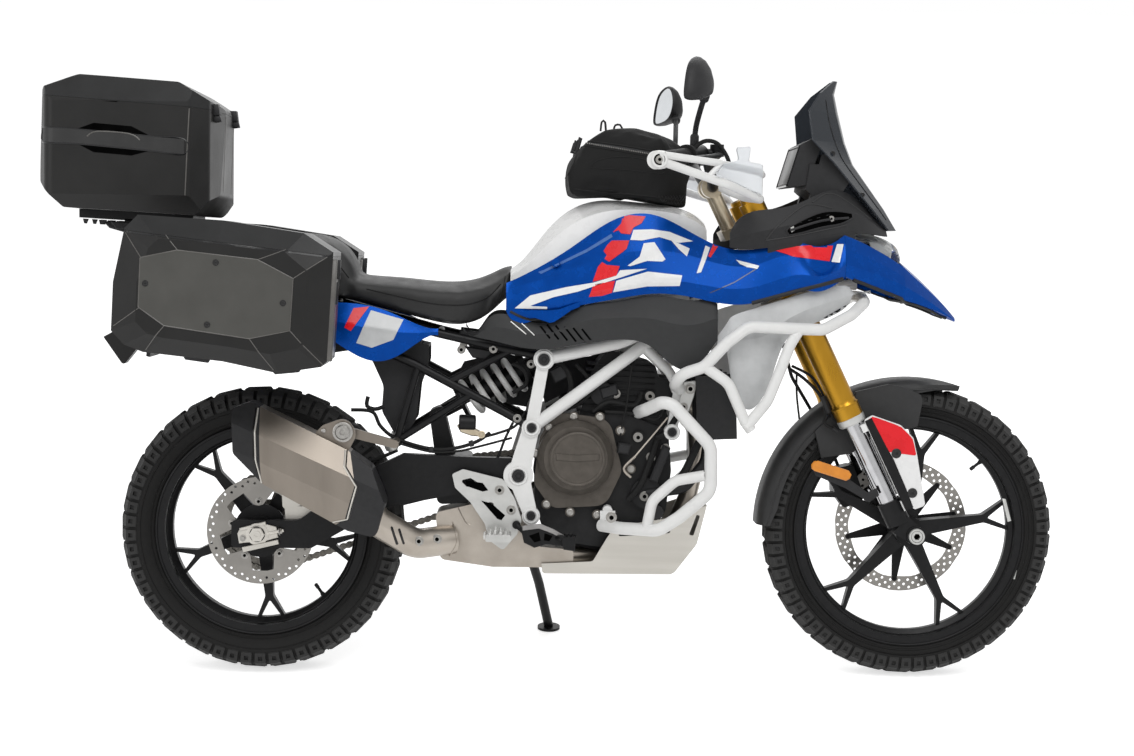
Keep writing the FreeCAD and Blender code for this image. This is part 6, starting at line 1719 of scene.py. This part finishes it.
piece("swingarm_clips", [spin(CLIP, *seat, 16) for seat in CLIP_SEATS], BLACK_PLASTIC)
piece("underseat_boxes", both([
    slab([(440, 778), (510, 770), (560, 742), (520, 738), (470, 744), (436, 752)], -92, -70, 3),
    slab([(452, 742), (520, 732), (500, 712), (470, 716)], -96, -84, 3),
]), BLACK_PLASTIC)
PEG_MIDDLE, PEG_TOP = 529, 352
peg_teeth = []
for x in (500, 512, 524, 536, 548):
    top, far = PEG_TOP - abs(x - PEG_MIDDLE) * 0.5, PEG_TOP - abs(x + 5 - PEG_MIDDLE) * 0.5
    tooth = [(x, top), (x + 5, far), (x + 4, top - 8), (x + 1, top - 8)]
    peg_teeth += [slab(tooth, y, y + 6, 0.5) for y in (-236, -222, -208, -194, -180)]
piece("peg_teeth", peg_teeth, SILVER_PAINT)


# Coil spring, foot brake and the dark guards behind the open frame

SHOCK_TOP = Vector((628, 0, 708))
SHOCK_WAY = (Vector((398, 0, 586)) - SHOCK_TOP).normalized()
_, SHOCK_SIDE, SHOCK_OVER = axes_for(SHOCK_WAY)
COIL_START, COIL_LENGTH, COIL_TURNS, COIL_R, COIL_WIRE = 59.5, 135.0, 5, 39.5, 6.9
coil = []
for k in range(COIL_TURNS * 28 + 1):
    turn = math.tau * k / 28
    spot = SHOCK_TOP + SHOCK_WAY * (COIL_START + COIL_LENGTH * k / (COIL_TURNS * 28))
    coil.append(spot + SHOCK_SIDE * COIL_R * math.cos(turn) + SHOCK_OVER * COIL_R * math.sin(turn))
piece("rear_spring_coil", [pipe(coil, COIL_WIRE, 10, curved=False)], SPRING, stands_for=("shock_spring",))

PEDAL_ARM = [
    (581, 350), (624, 355), (652, 344), (678, 330), (690, 318), (676, 308), (640, 312), (612, 304),
    (589, 315)
]
# Lighter grey metal strip along the arm's top edge: painted highlight where light falls on the top.
PEDAL_TOP_HIGHLIGHT = [(584, 352), (624, 358), (654, 346), (680, 331), (670, 326), (652, 336), (622, 347), (586, 342)]
PEDAL_GAPS = [
    [(600, 331), (622, 339), (626, 320), (612, 316)], [(634, 337), (652, 331), (645, 319), (633, 321)]
]
piece(
    "brake_pedal_arm",
    [
        slab(PEDAL_ARM, -178, -168, 1.5),
        slab([(671, 330), (703, 332), (701, 300), (676, 303)], -196, -160, 2)
    ] + [slab([(674 + 9 * k, 331), (679 + 9 * k, 335), (682 + 9 * k, 331)], -194, -162, 0.5)
    for k in range(3)],
    BLACK_SATIN
)
piece("brake_pedal_top_highlight", [slab(PEDAL_TOP_HIGHLIGHT, -180, -176, 1.2)], ENGINE_GREY)
# Openings in the pedal arm, filled with painted shade.
piece("brake_pedal_gap_painted_shade", [slab(o, -178.4, -176, 0.3) for o in PEDAL_GAPS], PAINTED_SHADE)
HEEL_SLOTS = [
    [(458, 449), (497, 443), (509, 427), (497, 424), (464, 435)],
    [(494, 404), (517, 398), (547, 372), (539, 361), (530, 364), (512, 384)]
]
heel_face = on_skin(HEEL_SKIN, 500, 455, -1).y
# Slots in the heel plates, covered with painted shade.
piece("heel_plate_slot_painted_shade", both([slab(o, heel_face - 0.8, heel_face + 0.5, 0.3) for o in HEEL_SLOTS]), PAINTED_SHADE)
BAY_GUARDS = [
    [(432, 668), (448, 700), (536, 722), (606, 704), (612, 650), (592, 597), (552, 603), (500, 622)],
    [(640, 700), (737, 716), (790, 736), (806, 700), (700, 640), (634, 606), (626, 640)],
]
piece("inner_bay_guards", [slab(o, 52, 57, 1.5) for o in BAY_GUARDS], BLACK_PLASTIC)
RIB = [(455, 662), (462, 662), (470, 704), (463, 704)]
ribs = [slab([(x + 34 * k, z) for x, z in RIB], 48, 53, 1) for k in range(4)]
piece("bay_guard_ribs", ribs, BLACK_PLASTIC)
SHROUD = skin_of("tank_shrouds")
SHROUD_STRIPS = [
    [(1218, 806), (1300, 852), (1349, 880), (1350, 868), (1296, 832), (1246, 800)],
    [(1186, 780), (1164, 777), (1150, 759), (1112, 650), (1124, 652), (1160, 734)],
]
piece("shroud_edge_strips", films(SHROUD_STRIPS, SHROUD, 0.8, 6, 60), BLACK_SATIN)
EDGE_STRIP = [(1040, 838), (1100, 855), (1166, 873), (1230, 891), (1288, 907)]
piece("panel_edge_bars", beads([EDGE_STRIP], 5.0, PANEL, -1.0), BLACK_PLASTIC)
piece(
    "lower_engine_guards",
    [slab([(690, 303), (770, 304), (770, 283), (740, 256), (690, 272)], -60, -52, 1.5)], BLACK_PLASTIC
)
# Painted shade: a dark disc in the hexagonal recess of each chassis bolt.
sockets = []
for place, way, r, high in WELLS:
    well = [(r * 0.56, high + 0.1), (r * 0.52, high + 0.35), (0.2, high + 0.35)]
    sockets.append(spin(well, place, way, 12))
piece("bolt_socket_painted_shade", sockets, PAINTED_SHADE)


def skirt(tree, line, side, drop, wall=3.0):
    """Strip that hangs from the lower edge of a skin."""
    points = []
    for spot in edge_run(tree, line, side, 10):
        x, y, z = spot
        points += [(x, y, z + 4), (x, y - side * 1.5, z - drop), (x, y - side * (1.5 + wall), z - drop),
                   (x, y - side * wall, z + 4)]
    last = len(points) - 4
    ends = [(0, 1, 2, 3), (last, last + 1, last + 2, last + 3)]
    return points, bands(len(points) // 4, 4) + ends


piece(
    "cowl_skirts", [skirt(FAIRING_SKIN, [(1112, 1010), (1200, 1016), (1310, 1016)], s, 16) for s in SIDES],
    BLACK_PLASTIC
)


def lip(outline, tree, side, wall=4.0):
    """Flat lip standing level with the outermost point of a skin inside its outline."""
    spots = [land(tree, x, z, side, 1.2) for x, z in outline]
    level = side * max(side * s.y for s in spots if s is not None)
    count = len(outline)
    points = [(x, level, z) for x, z in outline] + [(x, level - side * wall, z) for x, z in outline]
    faces = [tuple(range(count)), tuple(reversed(range(count, 2 * count)))]
    faces += [(i, (i + 1) % count, count + (i + 1) % count, count + i) for i in range(count)]
    return points, faces


PANEL_CORNER = [
    (575, 824), (596, 813), (617, 806), (639, 799), (648, 801), (669, 815), (685, 827), (704, 835),
    (703, 846), (660, 829), (634, 826), (600, 826)
]
CORNER_SKIN = skin_of("side_panels", "lower_side_covers")
piece("panel_corners", [lip(PANEL_CORNER, CORNER_SKIN, s) for s in SIDES], BLUE)


# Padded pieces

def mesh_of(obj):
    """The mesh as it stands with its modifiers."""
    graph = bpy.context.evaluated_depsgraph_get()
    return bpy.data.meshes.new_from_object(obj.evaluated_get(graph))


CLOTH_FRAMES = 20


def evened(mesh, times, shrink=0.0):
    """Even out a mesh and draw it in along its normals."""
    work = bmesh.new()
    work.from_mesh(mesh)
    for _ in range(times):
        bmesh.ops.smooth_vert(
            work, verts=work.verts[:], factor=0.5, use_axis_x=True, use_axis_y=True, use_axis_z=True
        )
    work.normal_update()
    for v in work.verts:
        v.co -= v.normal * shrink
    work.to_mesh(mesh)
    work.free()


def stuffed(name, source, material, voxel, shrink, cap, pressure, hold):
    """Cloth shell over a solid: remeshed, drawn in, blown up a little and held at its base."""
    copy = nodes[source].data.copy()
    copy.materials.clear()
    obj = bpy.data.objects.new(name, copy)
    scene.collection.objects.link(obj)
    remesh = obj.modifiers.new("Remesh", "REMESH")
    remesh.mode = "VOXEL"
    remesh.voxel_size = voxel
    even = mesh_of(obj)
    obj.modifiers.clear()
    obj.data = even
    evened(even, 3, shrink)
    start = [v.co.copy() for v in even.vertices]
    held = [v.index for v in even.vertices if hold(FROM_ROW @ v.co / MM)]
    group = obj.vertex_groups.new(name="base")
    group.add(held, 1.0, "REPLACE")
    cloth = obj.modifiers.new("Cloth", "CLOTH")
    cloth.settings.use_pressure = True
    cloth.settings.uniform_pressure_force = pressure
    cloth.settings.effector_weights.gravity = 0
    cloth.settings.vertex_group_mass = "base"
    cloth.settings.quality = 4
    cloth.collision_settings.use_collision = False
    cloth.point_cache.frame_end = CLOTH_FRAMES
    for frame_number in range(1, CLOTH_FRAMES + 1):
        scene.frame_set(frame_number)
    blown = mesh_of(obj)
    places = [v.co.copy() for v in blown.vertices]
    obj.modifiers.clear()
    for v, was, now in zip(even.vertices, start, places):
        move = now - was
        if move.length > cap:
            move = move.normalized() * cap
        v.co = was + move
    scene.frame_set(1)
    evened(even, 2)
    even.materials.clear()
    even.materials.append(material)
    for polygon in even.polygons:
        polygon.use_smooth = True
    obj.vertex_groups.clear()
    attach(obj, "chassis")
    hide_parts(source)
    return obj


def tree_of(obj):
    mesh = obj.data
    return BVHTree.FromPolygons(
        [FROM_ROW @ v.co / MM for v in mesh.vertices], [tuple(p.vertices) for p in mesh.polygons]
    )


saddle = stuffed(
    "seat_cover", "seat", SEAT_VINYL, voxel=0.0065, shrink=0.003, cap=0.006, pressure=4.0,
    hold=lambda p: p.z < 862 and p.x < 540 and abs(p.y) < 100
)
bag = stuffed(
    "tank_bag_body", "tank_bag", FABRIC, voxel=0.006, shrink=0.003, cap=0.007, pressure=4.0,
    hold=lambda p: p.z < 1078
)
SEAT_SKIN = tree_of(saddle)
BAG_SKIN = tree_of(bag)
SEAT_PIPING = [(236, 866), (300, 852), (380, 836), (450, 834), (500, 850), (530, 880)]
FRONT_SEAM = [(540, 898), (536, 872), (528, 846)]
REAR_SEAM = [(20, 960), (110, 952), (160, 930), (196, 890)]
piece("seat_piping", beads([SEAT_PIPING], 1.5, SEAT_SKIN, 0.2), RUBBER)
piece(
    "seat_seams", beads([FRONT_SEAM], 1.2, SEAT_SKIN, 0.2) + beads([REAR_SEAM], 1.5, SEAT_SKIN, 0.2), RUBBER
)
ZIP_HIGH = [(704, 1200), (790, 1190), (880, 1176), (950, 1164)]
ZIP_LOW = [(698, 1190), (790, 1177), (880, 1163), (950, 1150)]
POCKET = [
    (724, 1139), (738, 1155), (784, 1164), (840, 1160), (884, 1144), (884, 1130), (802, 1136), (724, 1139)
]
BAG_BACK = [(700, 1192), (688, 1150), (674, 1116), (676, 1080)]
BAG_BASE = [(690, 1092), (742, 1088), (825, 1082), (930, 1070)]
piece(
    "bag_piping",
    beads((ZIP_HIGH, ZIP_LOW), 1.8, BAG_SKIN, 0.5) + beads((BAG_BACK, BAG_BASE), 2.0, BAG_SKIN, 0.3), RUBBER
)
piece("bag_pocket_seams", beads([POCKET], 1.3, BAG_SKIN, 0.3), RUBBER)
BAG_ZIP = [(702, 1195), (790, 1184), (880, 1170), (950, 1157)]
piece("bag_zip", films([ribbon(BAG_ZIP, 5.5)], BAG_SKIN, 0.8, 8), BLACK_PLASTIC)
teeth_parts = []
for k in range(60):
    x = 706 + 4 * k
    z = 1194.5 - (x - 706) * 0.155
    for s in SIDES:
        spot = land(BAG_SKIN, x, z, s, 1.2)
        if spot is not None:
            teeth_parts.append(spin([(0.9, -1.8), (0.9, 1.8)], spot, (0.1, 0, 1), 4))
piece("bag_zip_teeth", teeth_parts, BOLT_STEEL)
mesh_parts = []
for k in range(8):
    x = 878 + 7 * k
    mesh_parts.append(([(x, 1056 + 1.2 * k), (x + 16, 1080 + 0.6 * k)], 0.9))
    mesh_parts.append(([(x + 14, 1056 + 1.2 * k), (x - 2, 1080 + 0.6 * k)], 0.9))
piece(
    "bag_mesh_patch", [bead(l, r, BAG_SKIN, s, 0.3, 5, 5) for l, r in mesh_parts for s in SIDES],
    BLACK_PLASTIC
)
piece("bag_buckles", both([
    slab([(690, 1172), (698, 1170), (708, 1206), (700, 1210)], -70, -46, 2),
    slab([(684, 1180), (692, 1178), (698, 1200), (691, 1203)], -66, -50, 1.5),
]) + [
    pipe([(750, -14, 1226), (752, -16, 1246), (756, -16, 1250), (760, -14, 1246), (762, -12, 1228)], 2.6, 6),
    pipe([(780, -10, 1230), (783, -12, 1240), (794, -12, 1241), (800, -10, 1230)], 2.6, 6),
], BLACK_PLASTIC)


# Stage and camera

FLOOR_GLOW, FLOOR_GLOW_SEEN = 0.30, 0.64
WORLD_LIGHT, WORLD_LIGHT_SEEN = 0.46, 1.0


def background_rays(tree, path):
    """One for the rays that see the background: from the camera, in metal and through glass."""
    first = add(tree, "ShaderNodeMath", operation="MAXIMUM")
    second = add(tree, "ShaderNodeMath", operation="MAXIMUM")
    tree.links.new(path.outputs["Is Camera Ray"], first.inputs[0])
    tree.links.new(path.outputs["Is Glossy Ray"], first.inputs[1])
    tree.links.new(first.outputs[0], second.inputs[0])
    tree.links.new(path.outputs["Is Transmission Ray"], second.inputs[1])
    return second.outputs[0]


def floor_material():
    material, tree, bsdf = shader("pale_floor")
    speckle = noise(tree, 60.0)
    tree.links.new(two_tone(tree, speckle, (0.86, 0.86, 0.86), (0.88, 0.88, 0.88)), bsdf.inputs["Base Color"])
    bsdf.inputs["Roughness"].default_value = 0.95
    bsdf.inputs["Specular IOR Level"].default_value = 0.0
    bsdf.inputs["Emission Color"].default_value = (1, 1, 1, 1)
    path = add(tree, "ShaderNodeLightPath")
    glow = add(tree, "ShaderNodeMix", data_type="FLOAT")
    glow.inputs["A"].default_value = FLOOR_GLOW
    glow.inputs["B"].default_value = FLOOR_GLOW_SEEN
    tree.links.new(background_rays(tree, path), glow.inputs["Factor"])
    tree.links.new(glow.outputs["Result"], bsdf.inputs["Emission Strength"])
    return material


def build_stage():
    bpy.ops.mesh.primitive_plane_add(size=60, location=(0, 0, -0.001))
    floor = bpy.context.object
    floor.name = "floor"
    floor.data.materials.append(floor_material())
    world = bpy.data.worlds.new("studio")
    scene.world = world
    world.use_nodes = True
    tree = world.node_tree
    background = tree.nodes["Background"]
    path = add(tree, "ShaderNodeLightPath")
    strength = add(tree, "ShaderNodeMix", data_type="FLOAT")
    strength.inputs["A"].default_value = WORLD_LIGHT
    strength.inputs["B"].default_value = WORLD_LIGHT_SEEN
    tree.links.new(background_rays(tree, path), strength.inputs["Factor"])
    tree.links.new(strength.outputs["Result"], background.inputs["Strength"])
    background.inputs["Color"].default_value = (1, 1, 1, 1)
    for name, place, energy, size in (
        ("key", (0.6, -3.0, 4.8), 125, 3.0),
        ("fill", (-3.6, -3.0, 2.4), 34, 2.5),
        ("rim", (0.4, 3.4, 3.6), 60, 3.0),
    ):
        data = bpy.data.lights.new(name, "AREA")
        data.energy = energy
        data.size = size
        lamp = bpy.data.objects.new(name, data)
        scene.collection.objects.link(lamp)
        lamp.location = place
        lamp.rotation_euler = (Vector((0, 0, 0.6)) - Vector(place)).to_track_quat("-Z", "Y").to_euler()
    scene.view_settings.view_transform = "Standard"


def build_camera():
    """The photograph's viewpoint: beside the machine, a little ahead of its middle."""
    focal_px, image_w, sensor = 2071.17, 1134, 36.0
    spot = Vector((0.5559, -4.6956, 0.9558))
    yaw, pitch, roll = 0.0271, -0.0612, 0.0149
    ahead = Vector((math.sin(yaw) * math.cos(pitch), math.cos(yaw) * math.cos(pitch), math.sin(pitch)))
    side = Vector((math.cos(yaw), -math.sin(yaw), 0))
    over = side.cross(ahead)
    right = side * math.cos(roll) + over * math.sin(roll)
    up = over * math.cos(roll) - side * math.sin(roll)
    turn = Matrix((right, up, -ahead)).transposed().to_4x4()
    data = bpy.data.cameras.new("camera")
    data.sensor_width = sensor
    data.lens = focal_px * sensor / image_w
    camera = bpy.data.objects.new("camera", data)
    scene.collection.objects.link(camera)
    camera.matrix_world = BIKE @ Matrix.Translation(spot) @ turn
    scene.camera = camera


build_stage()
build_camera()
